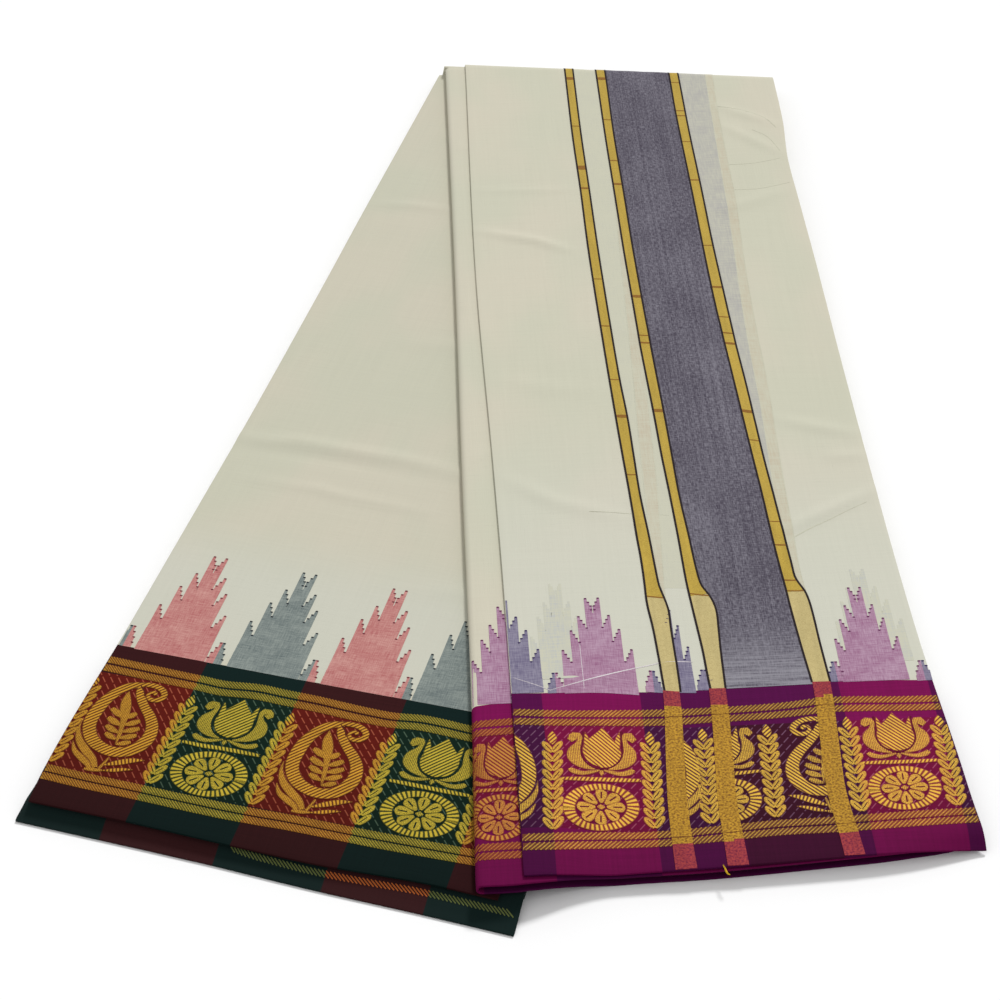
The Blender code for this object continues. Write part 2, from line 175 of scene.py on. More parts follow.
def fold_v(x):
    """How far up the right leg's plan the turning line is."""
    return mix(FOLD_LEFT[1], FOLD_RIGHT[1], (x - FOLD_LEFT[0]) / (FOLD_RIGHT[0] - FOLD_LEFT[0]))


def left_fold_v(u):
    """The same line in the left leg's plan."""
    left, right = right_to_left(*FOLD_LEFT), right_to_left(*FOLD_RIGHT)
    return mix(left[1], right[1], (u - left[0]) / (right[0] - left[0]))


CRISP_ANGLE = math.radians(40)


class Making:
    """One piece of cloth or thread while it is made. Each point has its place in the pattern, in mm."""

    def __init__(self):
        self.points, self.faces, self.places, self.ribs, self.finishes = [], [], [], [], []

    def point(self, at, place, rib=(0.0, 0.0)):
        self.points.append(at)
        self.places.append(place)
        self.ribs.append(rib)
        return len(self.points) - 1

    def face(self, corners_of, finish=0):
        kept = [c for i, c in enumerate(corners_of) if c != corners_of[i - 1]]
        if len(kept) > 2:
            self.faces.append(kept)
            self.finishes.append(finish)

    def skin(self, rows, finish=0, closed=False):
        """Faces between neighbouring rows. finish may be a function of a place in the pattern."""
        for row, upper in zip(rows, rows[1:]):
            count = len(row) if closed else len(row) - 1
            for i in range(count):
                j = (i + 1) % len(row)
                middle = [(self.places[row[i]][k] + self.places[upper[j]][k]) / 2 for k in (0, 1)]
                chosen = finish(*middle) if callable(finish) else finish
                self.face((row[i], row[j], upper[j], upper[i]), chosen)

    def piece(self, name, *finishes, crisp=False):
        """The finished object, riding with the cloth. Flat thread is crisp: it keeps its sharp edges."""
        mesh = bpy.data.meshes.new(name)
        mesh.from_pydata(self.points, [], self.faces)
        for layer_name, values in (("Place", self.places), ("Ribs", self.ribs)):
            layer = mesh.uv_layers.new(name=layer_name)
            flat = [value for loop in mesh.loops for value in values[loop.vertex_index]]
            layer.data.foreach_set("uv", flat)
        for finish in finishes:
            mesh.materials.append(finish)
        mesh.polygons.foreach_set("material_index", self.finishes)
        mesh.shade_smooth()
        if crisp:
            mesh.set_sharp_from_angle(angle=CRISP_ANGLE)
        mesh.update()
        made = bpy.data.objects.new(name, mesh)
        bpy.context.scene.collection.objects.link(made)
        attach(made, "root")
        return made


# Section of a two-ply edge. Columns: part of the reach outward, part of the thickness down.
EDGE_SECTION = ((0.50, 0.05), (0.92, 0.16), (1.00, 0.27), (0.80, 0.40), (0.30, 0.48), (0.78, 0.56),
                (1.00, 0.70), (0.94, 0.84), (0.50, 0.95))


def border_of(rows):
    """A grid's rim, run anticlockwise from its first row."""
    right = [row[-1] for row in rows[1:-1]]
    left = [row[0] for row in reversed(rows[1:-1])]
    return list(rows[0]) + right + list(reversed(rows[-1])) + left


def sheet_of_cloth(making, top, bottom, places, reach, finish=0, section=EDGE_SECTION):
    """A closed sheet between two grids of places, with its edge rounded outward by reach, in mm."""
    upper = [[making.point(p, q) for p, q in zip(*rows)] for rows in zip(top, places)]
    lower = [[making.point(p, q) for p, q in zip(*rows)] for rows in zip(bottom, places)]
    making.skin(upper, finish)
    making.skin([list(reversed(row)) for row in lower], finish)
    high, low = border_of(upper), border_of(lower)
    count = len(high)
    outward = []
    for i in range(count):
        run = making.points[high[(i + 1) % count]] - making.points[high[i - 1]]
        up = making.points[high[i]] - making.points[low[i]]
        outward.append(run.cross(up).normalized())
    ring = high
    for out, down in section:
        next_ring = []
        for i in range(count):
            at = making.points[high[i]].lerp(making.points[low[i]], down) + outward[i] * (reach * out * MM)
            next_ring.append(making.point(at, making.places[high[i]]))
        making.skin([next_ring, ring], finish, closed=True)
        ring = next_ring
    making.skin([low, ring], finish, closed=True)


def leg_grids(tokens, across, foot, border_top, end, counts, lay, first=(0.0,), mark=None):
    """Grids of a sheet's two faces and of its places in the pattern, from its foot to its border's top and
    on to the fold. counts are the rows below and above that top, and first is where the rows at the foot
    are. across gives a token's column at a height, lay its place, and mark its place across the pattern."""
    columns = []
    for token in tokens:
        start = foot(across(token, LEG_FOOT))
        middle, last = border_top(across(token, BORDER_END)), end(across(token, LEG_END))
        heights = [start + step for step in first]
        heights += [mix(heights[-1], middle, (i + 1) / counts[0]) for i in range(counts[0])]
        heights += [mix(middle, last, (i + 1) / counts[1]) for i in range(counts[1])]
        columns.append([(lay(token, v, 0.0), lay(token, v, 1.0), ((mark or across)(token, v), v))
                        for v in heights])

    def grid(k):
        return [list(row) for row in zip(*([entry[k] for entry in column] for column in columns))]

    return grid(0), grid(1), grid(2)


def left_across(left_edge, right_edge):
    return lambda part, v: mix(along(left_edge, v), along(right_edge, v), part)


def parts(count):
    return [i / count for i in range(count + 1)]


class Number:
    """A socket of a shader. Arithmetic on it adds Math nodes."""

    def __init__(self, finish, socket):
        self.finish, self.socket = finish, socket

    def maths(self, operation, *others):
        return self.finish.node("Math", {"operation": operation}, dict(enumerate((self, *others))))

    def __add__(self, other):
        return self.maths("ADD", other)

    def __sub__(self, other):
        return self.maths("SUBTRACT", other)

    def __rsub__(self, other):
        return self.finish.node("Math", {"operation": "SUBTRACT"}, {0: other, 1: self})

    def __mul__(self, other):
        return self.maths("MULTIPLY", other)

    def __truediv__(self, other):
        return self.maths("DIVIDE", other)

    __radd__, __rmul__ = __add__, __mul__


CLOTH_SHINE = 0.08        # cloth and thread reflect little at the surface


class Finish:
    """A cloth's or a thread's material while it is made."""

    def __init__(self, name, roughness=0.9, metallic=0.0, sheen=0.0):
        self.material = bpy.data.materials.new(name)
        self.material.use_nodes = True
        self.tree = self.material.node_tree
        self.shader = self.tree.nodes["Principled BSDF"]
        self.shader.inputs["Roughness"].default_value = roughness
        self.shader.inputs["Metallic"].default_value = metallic
        self.shader.inputs["Sheen Weight"].default_value = sheen
        self.shader.inputs["Specular IOR Level"].default_value = CLOTH_SHINE

    def node(self, kind, settings, sockets, out=0):
        """Any node, from its type, its settings and the values or links of its sockets."""
        made = self.tree.nodes.new("ShaderNode" + kind)
        for key, value in settings.items():
            setattr(made, key, value)
        for key, value in sockets.items():
            if isinstance(value, Number):
                self.tree.links.new(value.socket, made.inputs[key])
            else:
                made.inputs[key].default_value = value
        return Number(self, made.outputs[out])

    def place(self, name="Place"):
        """The two numbers of a place in the pattern."""
        split = self.node("SeparateXYZ", {}, {0: self.node("UVMap", {"uv_map": name}, {})})
        return split, Number(self, split.socket.node.outputs[1])

    def speckle(self, u, v, size_u, size_v, detail=2.0, seed=0.0):
        """Noise from 0 to 1 whose grains are size_u by size_v mm."""
        at = self.node("CombineXYZ", {}, {0: u / size_u, 1: v / size_v, 2: seed})
        return self.node("TexNoise", {}, {"Vector": at, "Scale": 1.0, "Detail": detail})

    def step(self, value, low, high):
        """0 below low and 1 above high."""
        return self.node("MapRange", {"interpolation_type": "SMOOTHSTEP"},
                         {"Value": value, "From Min": low, "From Max": high})

    def inside(self, value, spans, soft=0.4):
        """1 inside any of the spans, with edges blurred over soft mm."""
        total = None
        for low, high in spans:
            begun = self.step(value, low - soft / 2, low + soft / 2)
            span = begun - self.step(value, high - soft / 2, high + soft / 2)
            total = span if total is None else total + span
        return total

    def blend(self, share, first, second):
        """Between two colours."""
        return self.node("Mix", {"data_type": "RGBA"}, {"Factor": share, 6: first, 7: second}, out=2)

    def tint(self, colour, amount):
        """A colour made lighter or darker by a number about 1."""
        grey = self.node("CombineXYZ", {}, {0: amount, 1: amount, 2: amount})
        return self.node("VectorMath", {"operation": "MULTIPLY"}, {0: colour, 1: grey})

    def weave(self, u, v, depth):
        """Bump of a plain weave with thicker threads here and there."""
        warp = self.speckle(u, v, 0.55, 9.0, 3.0, 1.0)
        weft = self.speckle(u, v, 9.0, 0.55, 3.0, 2.0)
        return self.node("Bump", {}, {"Strength": 0.5, "Distance": depth * MM, "Height": warp + weft})

    def done(self, colour, normal=None):
        self.tree.links.new(colour.socket, self.shader.inputs["Base Color"])
        if normal:
            self.tree.links.new(normal.socket, self.shader.inputs["Normal"])
        return self.material


def dye(red, green, blue):
    """A colour from its 8-bit screen values."""
    def linear(value):
        value /= 255
        return value / 12.92 if value <= 0.04045 else ((value + 0.055) / 1.055) ** 2.4
    return linear(red), linear(green), linear(blue), 1.0


CREAM, CREAM_WARM, CREAM_COOL = dye(199, 198, 178), dye(204, 199, 180), dye(203, 203, 189)
MAROON, GREEN = dye(50, 16, 18), dye(6, 28, 26)
MAGENTA, PURPLE = dye(118, 8, 76), dye(81, 5, 66)
BROWN = dye(58, 13, 26)


def cotton(name, cool=(), band_spans=(), band_colours=(CREAM, CREAM), band_reach=(0, 0), shade=1.0):
    """Undyed cotton. cool holds the heights between which it turns bleached and undyed again. Inside
    band_reach of v it is dyed in blocks of two colours, the second in band_spans of u."""
    finish = Finish(name, 0.88, sheen=0.15)
    u, v = finish.place()
    cloudy = finish.speckle(u, v, 60.0, 90.0, 2.0, 3.0)
    streaks = finish.speckle(u, v, 1.3, 60.0, 3.0, 4.0) + finish.speckle(u, v, 45.0, 1.2, 3.0, 5.0)
    colour = finish.blend(finish.step(cloudy, 0.35, 0.65), CREAM, CREAM_WARM)
    if cool:
        bleached = finish.step(v, *cool[0]) * (1 - finish.step(v, *cool[1]))
        colour = finish.blend(bleached * 0.8, colour, CREAM_COOL)
    slubs = finish.step(finish.speckle(u, v, 7.0, 0.7, 1.0, 9.0), 0.68, 0.78)
    slubs += finish.step(finish.speckle(u, v, 0.7, 7.0, 1.0, 10.0), 0.70, 0.80)
    # shade below 1 darkens the whole cotton: painted shade.
    colour = finish.tint(colour, (0.94 + streaks * 0.06 - slubs * 0.05) * shade)
    if band_spans:
        dyed = finish.blend(finish.inside(u, band_spans), *band_colours)
        dyed = finish.tint(dyed, 0.75 + streaks * 0.25)
        colour = finish.blend(finish.inside(v, (band_reach,)), colour, dyed)
    return finish.done(colour, finish.weave(u, v, 0.10))


pleat_cotton = cotton("pleat_cotton", band_spans=((-10, 47), (98, 140), (182, 230)),
                      band_colours=(MAROON, GREEN), band_reach=(-20, 92))
making = Making()
for low, high, left_in, right_in, foot_in in LEFT_PLEATS:
    across = left_across(moved(LEFT_LEG_LEFT, left_in + LEFT_PLEAT_ROOM),
                         moved(LEFT_LEG_RIGHT, -right_in - LEFT_PLEAT_ROOM))
    z_top, z_bottom = LEFT_STACK_HEIGHT * high, LEFT_STACK_HEIGHT * low

    def lay(part, v, down):
        return on_table(*left_to_right(across(part, v), v), mix(z_top, z_bottom, down))

    grids = leg_grids(parts(12), across, lambda u: LEFT_STACK_FOOT + foot_in, lambda u: LEFT_PLEAT_BORDER,
                      lambda u: left_fold_v(u) - PLEATS_END, (4, 30), lay)
    sheet_of_cloth(making, *grids, reach=LEFT_PLEAT_REACH)
left_pleats = making.piece("left_leg_pleats", pleat_cotton)
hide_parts("left_leg_folds")

# ---------------------------------------------------------------- left leg, under sheet
# The pleat just below the left leg's face. It comes further down at the foot, where its plain band
# hangs over the pleats to the table and shows the first rope of zari. Dyed and undyed cotton.
UNDER_BASE = LEFT_STACK_HEIGHT + GAP
UNDER_SELVEDGE = ((-4, -6.0), (80, -8.0), (130, -10.2), (175, -11.3), (216, -12.8))
UNDER_HANG_END = 5.2      # above this height it lies flat
UNDER_HANG = ((0.0, 3.9), (0.22, 3.1), (0.50, 1.7), (0.78, 0.5), (1.0, 0.0))    # part of the way up, drop
UNDER_FOOT_ROWS = (0.0, 1.2, 2.4, 3.6, 4.8, 6.0, 7.2, 8.6, 10.2, 12.0, 14.2, 16.6, 19.5)
UNDER_GREEN = ((-20, 34), (85, 133), (177, 240))
EDGE_REACH = 0.35         # how far a sheet's rounded edge stands out
LEFT_SHEETS_END = 0.6     # the sheets stop this far before the fold


def under_sheet_at(u, v, rise):
    """A place on the under sheet's face, raised by rise mm."""
    foot = along(UNDER_SELVEDGE, u)
    drop = along(UNDER_HANG, (v - foot) / (UNDER_HANG_END - foot))
    return on_table(*left_to_right(u, v), UNDER_BASE + SHEET - drop + rise)


band_cotton = cotton("under_sheet_cotton", band_spans=UNDER_GREEN, band_colours=(MAROON, GREEN),
                     band_reach=(-30, 92))
making = Making()
across = left_across(moved(LEFT_LEG_LEFT, EDGE_REACH), moved(LEFT_LEG_RIGHT, -EDGE_REACH))
grids = leg_grids(parts(60), across, lambda u: along(UNDER_SELVEDGE, u) + EDGE_REACH,
                  lambda u: LEFT_PLEAT_BORDER, lambda u: left_fold_v(u) - LEFT_SHEETS_END, (12, 60),
                  lambda part, v, down: under_sheet_at(across(part, v), v, -SHEET * down), UNDER_FOOT_ROWS)
sheet_of_cloth(making, *grids, reach=EDGE_REACH)
left_under = making.piece("left_leg_under_sheet_cloth", band_cotton)
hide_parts("left_leg_under_sheet")

# ---------------------------------------------------------------- left leg, top sheet
# The left leg's face, a single pleat of undyed cotton from selvedge to fold. Its lowest 100 mm are
# dyed in maroon and green blocks. It lies flat but for soft creases left by earlier folding.
LEFT_TOP_BASE = UNDER_BASE + SHEET + GAP
LEFT_TOP_LEFT = ((0, -1.0), (20, -2.1), (45, -2.2), *LEFT_SIDE_ABOVE)
LEFT_TOP_RIGHT = ((0, 205.8), (300, 201.0), (660, 194.0))
LEFT_TOP_SELVEDGE = ((-10, 1.4), (43, 0.8), (92, -0.6), (129, -1.3), (174, 0.1), (210, -1.0))
FACE_LIFT = 0.25          # pressed cloth stands this much above flat
# Creases. Columns: places along it (u, v), half width, height.
LEFT_CREASES = (
    (((-4, 256), (18, 256), (32, 259), (59, 258), (87, 258), (112, 255), (130, 253)), 4.2, 1.10),
    (((4, 246), (28, 248), (50, 249), (72, 248), (100, 246)), 3.6, -0.45),
    (((12, 225.6), (44, 225.4), (54, 226), (68, 223.6), (97, 223), (112, 222.5)), 2.6, 0.72),
    (((4, 477), (26, 480), (50, 481)), 3.0, 0.65), (((60, 352), (110, 360), (150, 352)), 6.0, 0.45),
    (((120, 168), (150, 172), (186, 169)), 5.0, 0.39), (((20, 560), (70, 548), (110, 552)), 6.0, 0.39))


def creases_at(creases, u, v):
    """Height that a leg's creases add at a place, in mm."""
    height = 0.0
    for line, width, tall in creases:
        if not min(p[1] for p in line) - 3 * width < v < max(p[1] for p in line) + 3 * width:
            continue
        nearest, part = math.inf, 0.0
        for i, ((u0, v0), (u1, v1)) in enumerate(zip(line, line[1:])):
            du, dv = u1 - u0, v1 - v0
            t = min(max(((u - u0) * du + (v - v0) * dv) / (du * du + dv * dv), 0.0), 1.0)
            away = math.hypot(u - u0 - du * t, v - v0 - dv * t)
            if away < nearest:
                nearest, part = away, (i + t) / (len(line) - 1)
        height += tall * math.exp(-(nearest / width) ** 2) * math.sin(math.pi * (0.08 + 0.84 * part))
    return height


def rumple(u, v, seed):
    """Gentle unevenness of pressed cloth, in mm."""
    broad = noise.noise(Vector((u / 85, v / 120, seed)))
    return 0.22 * broad + 0.07 * noise.noise(Vector((u / 24, v / 40, seed + 5)))


def left_top_at(u, v, rise):
    """A place on the left leg's face, raised by rise mm."""
    z = LEFT_TOP_BASE + SHEET + creases_at(LEFT_CREASES, u, v) + FACE_LIFT + rumple(u, v, 0.0) + rise
    return on_table(*left_to_right(u, v), z)


LEFT_GREEN = ((43.5, 90.5), (137.5, 184.0))
DASH_SPACING, DASH_WIDTH, DASH_LENGTH, DASH_SLOPE = 3.1, 0.46, 5.0, math.radians(50)


def border_cloth(name, second_spans, colours, brocade_colours, dash_colours, brocade, lean, browned=()):
    """Dyed cotton of a border: plain bands, and inside brocade, a span of v, a ground with dashes of a
    supplementary weft. lean, 1 or -1, is which way they slope. browned is where across the cloth the
    whole border is woven over brown."""
    finish = Finish(name, 0.85)
    u, v = finish.place()
    second = finish.inside(u, second_spans)
    streaks = finish.speckle(u, v, 1.1, 30.0, 3.0, 4.0) + finish.speckle(u, v, 30.0, 0.9, 3.0, 5.0)
    plain = finish.blend(second, *colours)
    ground = finish.blend(second, *brocade_colours)
    if browned:
        brown = finish.inside(u, browned, 2.0) * 0.8
        ground = finish.blend(brown, ground, BROWN)
        plain = finish.blend(brown * 0.75 * (1 - finish.step(v, 17.0, 40.0)), plain, BROWN)
    across = u * math.sin(DASH_SLOPE) * lean + v * math.cos(DASH_SLOPE)
    run = v * math.sin(DASH_SLOPE) - u * math.cos(DASH_SLOPE) * lean
    row = across / DASH_SPACING
    line = (row.maths("FRACT") - 0.5).maths("ABSOLUTE") * DASH_SPACING
    part = (run / DASH_LENGTH + row.maths("FLOOR") * 0.37).maths("FRACT")
    dash = 1 - finish.step(line, DASH_WIDTH * 0.3, DASH_WIDTH * 0.75)
    dash *= finish.inside(part, ((0.06, 0.80),), 0.1)
    ground = finish.blend(dash * 0.85, ground, finish.blend(second, *dash_colours))
    colour = finish.blend(finish.inside(v, (brocade,)), plain, ground)
    # Darker towards the foot: painted shade where the border hangs down to the table.
    wear_and_painted_light = mix(0.66, 1.0, finish.step(v, -8.0, 75.0))
    colour = finish.tint(colour, wear_and_painted_light * (0.66 + streaks * 0.34))
    return finish.done(colour, finish.weave(u, v, 0.10))


# The left leg's face is the same cotton in painted shade, 0.95 as bright.
left_top_cotton = cotton("left_top_cotton", cool=((98, 108), (150, 200)), shade=0.95)
left_border_cotton = border_cloth("maroon_green_cotton", LEFT_GREEN, (MAROON, GREEN),
                                  (dye(88, 18, 9), dye(6, 30, 20)), (dye(160, 84, 60), dye(74, 94, 76)),
                                  (21.8, 81.2), 1)
LEFT_BORDER_TOP = ((0, 99.4), (23, 98.9), (44, 98.6), (130, 98.5), (206, 98.6))


def dyed_below(border_top):
    """Gives a place on a face the second of its two finishes, the dyed one, below the border's top."""
    return lambda u, v: int(v < along(border_top, u))


making = Making()
across = left_across(moved(LEFT_TOP_LEFT, EDGE_REACH), moved(LEFT_TOP_RIGHT, -EDGE_REACH))
grids = leg_grids(parts(76), across, lambda u: along(LEFT_TOP_SELVEDGE, u) + EDGE_REACH,
                  lambda u: along(LEFT_BORDER_TOP, u), lambda u: left_fold_v(u) - LEFT_SHEETS_END, (36, 180),
                  lambda part, v, down: left_top_at(across(part, v), v, -SHEET * down))
sheet_of_cloth(making, *grids, reach=EDGE_REACH, finish=dyed_below(LEFT_BORDER_TOP))
left_top = making.piece("left_leg_top_sheet_cloth", left_top_cotton, left_border_cotton)
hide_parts("left_leg_top_sheet")

# ---------------------------------------------------------------- left leg, zari of the border
# Gold-wrapped thread is woven in as a supplementary weft: two pairs of ropes, chains of leaves
# between panels, a paisley on each maroon panel, and a lotus with two swans over a wheel on each
# green one. It stands a little proud of the ground.
ZARI_RISE, DARK_RISE = 0.20, 0.26     # of gold thread above the cloth, and of dark thread over it
CURL_RISE, CURL_LINE_RISE = 0.23, 0.28          # of a paisley's curl, over its band
ROPE_GROUND_RISE = 0.10
SUNK = 0.06               # a thread's underside is this far inside the cloth
NO_LIMITS = (-999.0, 999.0)
# Across a motif's ribs: how far one mm of u and of v goes. Plain gold has no ribs.
FALLING_RIBS, RISING_RIBS, BAR_RIBS, PLAIN_GOLD = (0.72, -0.69), (0.7, 0.7), (0.9, 0.5), (0.0, 0.0)
LOW_ROPES, HIGH_ROPES = 17.5, 86.0    # where the dark line between each pair of ropes is, up the border
BORDER_MIDDLE = 50.0      # half way up the border
LEFT_LOW_LINE = ((0, 18.6), (16, 17.8), (37, 17.4), (78, 16.5), (98, 16.8), (109, 17.2), (150, 17.2),
                 (171, 17.5), (206, 18.4))
LEFT_HIGH_LINE = ((0, 86.8), (16, 86.1), (30, 85.6), (45, 85.2), (56, 84.7), (71, 86.4), (85, 86.1),
                  (99, 85.9), (112, 85.2), (124, 84.7), (135, 84.7), (147, 86.2), (157, 86.1), (170, 85.3),
                  (206, 84.6))
# Motifs. Columns: x from the panel's middle, height up the border, half width.
LOTUS_CUP = ((0, 57.0, 0.6), (0, 58.2, 4.4), (0, 60.5, 7.0), (0, 64.5, 8.6), (0, 68.5, 8.4), (0, 72.0, 6.6),
             (0, 75.0, 4.2), (0, 77.8, 2.0), (0, 80.2, 0.3))
LOTUS_SIDE = ((6.4, 65.0, 1.3), (6.9, 70.0, 1.5), (7.3, 74.0, 1.2), (7.9, 77.6, 0.2))
LOTUS_LINE = ((9.0, 78.0, 0.35), (8.7, 74.0, 0.38), (9.3, 69.0, 0.38), (9.2, 64.0, 0.38), (7.0, 59.6, 0.38),
              (3.6, 57.0, 0.38), (0, 56.2, 0.38))
SWAN = ((12.7, 72.4, 1.6), (13.7, 73.8, 2.3), (12.6, 75.5, 2.2), (10.8, 75.6, 1.7), (10.1, 73.0, 1.4),
        (10.9, 70.2, 1.7), (12.5, 66.8, 2.9), (12.4, 63.0, 3.4), (9.9, 59.6, 2.7), (6.2, 57.2, 1.5),
        (3.0, 56.0, 0.6))
BASE_SCROLL = ((14.4, 56.4, 1.2), (12.8, 54.9, 1.6), (8.6, 53.8, 1.3), (4.0, 54.6, 1.0), (1.0, 55.6, 0.6))
BUD = ((0, 52.4, 0.4), (0, 54.0, 1.3), (0, 55.4, 0.8))
BAR = ((-17.8, 50.6, 1.0), (-9, 50.4, 1.3), (0, 50.4, 1.3), (9, 50.5, 1.3), (17.6, 50.6, 1.0))
WHEEL_AT, WHEEL_WIDE, WHEEL_TALL = 35.3, 14.4, 11.1
WHEEL_THIN, WHEEL_SWELL, WHEEL_POINTS = 1.75, 1.1, 28         # half width, and what its sides add
WHEEL_COARSE = 1.25       # its ribs are wider than the others'
PETAL_WIDE, PETAL_TALL, PETALS = 10.8, 9.4, 8
# Columns: part of the way out, half width.
PETAL = ((0.24, 0.8), (0.44, 1.8), (0.70, 2.8), (0.90, 2.6), (1.0, 1.1))
PETAL_SLIT = ((0.5, 0.40), (0.7, 0.40), (0.88, 0.40))
WHEEL_DOT = ((-1.7, WHEEL_AT, 0.5), (0, WHEEL_AT, 1.7), (1.7, WHEEL_AT, 0.5))
CHAIN_BUD = ((0, 78.2, 0.2), (0, 76.2, 1.5), (0, 73.8, 2.3), (0, 71.6, 1.5), (0, 70.2, 0.4))
CHAIN_LEAF = ((0.1, -5.8, 1.0), (1.0, -4.4, 1.6), (2.3, -2.4, 1.75), (3.4, -0.7, 1.5), (4.0, 0.4, 0.7))
CHAIN_SLIT = ((0.4, -4.9, 0.20), (1.7, -3.1, 0.26), (2.9, -1.3, 0.20))
CHAIN_TOP, CHAIN_PITCH, CHAIN_LEAVES = 71.6, 5.25, 9
PAISLEY_BAND = ((-0.1, 78.1, 1.7), (-5.7, 75.8, 2.2), (-10.2, 71.0, 2.6), (-13.3, 64.7, 3.0),
                (-14.8, 57.8, 3.3), (-15.0, 50.8, 3.2), (-13.3, 45.3, 3.1), (-9.5, 40.4, 3.1),
                (-3.6, 37.3, 3.0), (2.7, 36.6, 3.0), (8.2, 38.7, 3.2), (12.0, 43.2, 3.4), (13.6, 48.8, 3.2),
                (12.6, 55.0, 2.9), (9.3, 60.6, 2.6), (5.1, 65.1, 2.3), (1.6, 69.6, 2.2), (-0.8, 73.7, 1.8),
                (-1.8, 76.0, 0.8))
PAISLEY_CURL = ((-3.6, 77.4, 0.7), (1.3, 78.6, 1.5), (6.1, 78.5, 1.6), (9.75, 76.4, 1.7), (10.9, 73.4, 1.6),
                (8.9, 70.8, 1.5), (5.6, 70.4, 1.35), (3.6, 72.4, 1.0), (4.5, 74.6, 1.0), (6.5, 74.6, 1.2),
                (6.9, 73.2, 0.8))
PAISLEY_LINE = ((-1.6, 77.2, 0.25), (1.2, 74.6, 0.3), (2.3, 71.6, 0.3))
PLUME = ((-5.4, 72.5, 0.3), (-4.6, 67.5, 2.1), (-3.1, 62.6, 2.6), (-1.6, 57.8, 2.0), (-0.4, 52.2, 1.3),
         (0.5, 46.0, 1.1), (1.1, 40.6, 0.3))
PLUME_LOBES = (
    ((-1.6, 56.5, 0.7), (-5.2, 58.6, 1.9), (-8.8, 60.5, 1.2)),
    ((-1.0, 51.8, 0.7), (-4.8, 53.4, 1.9), (-8.3, 55.1, 1.2)),
    ((-0.5, 47.6, 0.7), (-4.2, 48.9, 1.8), (-7.3, 50.4, 1.1)),
    ((0.0, 43.6, 0.7), (-3.2, 44.8, 1.7), (-5.9, 46.1, 1.0)),
    ((-0.9, 56.6, 0.7), (1.2, 58.6, 1.8), (3.0, 60.8, 1.1)),
    ((0.2, 52.6, 0.7), (3.4, 54.6, 1.8), (6.2, 56.9, 1.2)),
    ((0.6, 48.6, 0.7), (4.4, 50.4, 1.8), (7.7, 52.5, 1.2)),
    ((0.9, 44.8, 0.7), (4.7, 46.4, 1.8), (8.0, 48.3, 1.1)),
    ((1.2, 41.0, 0.7), (4.2, 42.4, 1.6), (7.0, 43.9, 1.0)))
CRESCENTS = (
    ((-18.9, 50.1, 0.3), (-18.2, 44.6, 1.0), (-15.2, 38.7, 1.8), (-10.2, 34.0, 2.1), (-5.3, 30.1, 1.8),
     (-2.5, 25.8, 1.4)),
    ((-17.8, 37.6, 0.3), (-14.9, 32.6, 1.3), (-10.0, 29.2, 1.7), (-6.3, 26.8, 1.4), (-4.4, 24.2, 1.0)))
PAISLEY_FOOT = ((-6.7, 24.0, 0.8), (-2.9, 24.4, 1.2), (1.3, 25.0, 0.7))
PAISLEY_STEM = ((1.3, 32.6, 0.6), (0.5, 29.3, 0.8), (-0.6, 25.6, 0.9))
SIDE_LEAVES = (((1.0, 28.3, 0.6), (6.1, 31.0, 1.6), (11.7, 33.8, 1.5), (16.9, 35.3, 0.3)),
               ((1.6, 25.1, 0.5), (5.8, 26.4, 1.2), (10.3, 28.0, 1.0), (13.9, 28.8, 0.3)))
# Finishes of a border's motifs. The one after each is the same over the second colour of the blocks.
RIBBED, SPECKLED, DARK, GROUND = 0, 2, 4, 6


def smooth_path(rows, step, closed=False):
    """Rows of u, v and half width on a smooth curve through a motif's rows."""
    count = len(rows)
    path = []
    for i in range(count if closed else count - 1):
        p0 = rows[i - 1] if i or closed else rows[0]
        p1, p2 = rows[i], rows[(i + 1) % count]
        p3 = rows[(i + 2) % count] if i + 2 < count or closed else rows[-1]
        pieces = max(1, round(math.dist(p1[:2], p2[:2]) / step))
        for k in range(pieces):
            t = k / pieces
            path.append([0.5 * (2 * b + (c - a) * t + (2 * a - 5 * b + 4 * c - d) * t * t
                                + (3 * b - a - 3 * c + d) * t ** 3) for a, b, c, d in zip(p0, p1, p2, p3)])
    return path if closed else path + [list(rows[-1])]


def held(u, v, limits):
    """A place kept within its limits, either of which may be an edge's rows of v and u."""
    low, high = (along(limit, v) if isinstance(limit, tuple) else limit for limit in limits)
    return min(max(u, low), high)


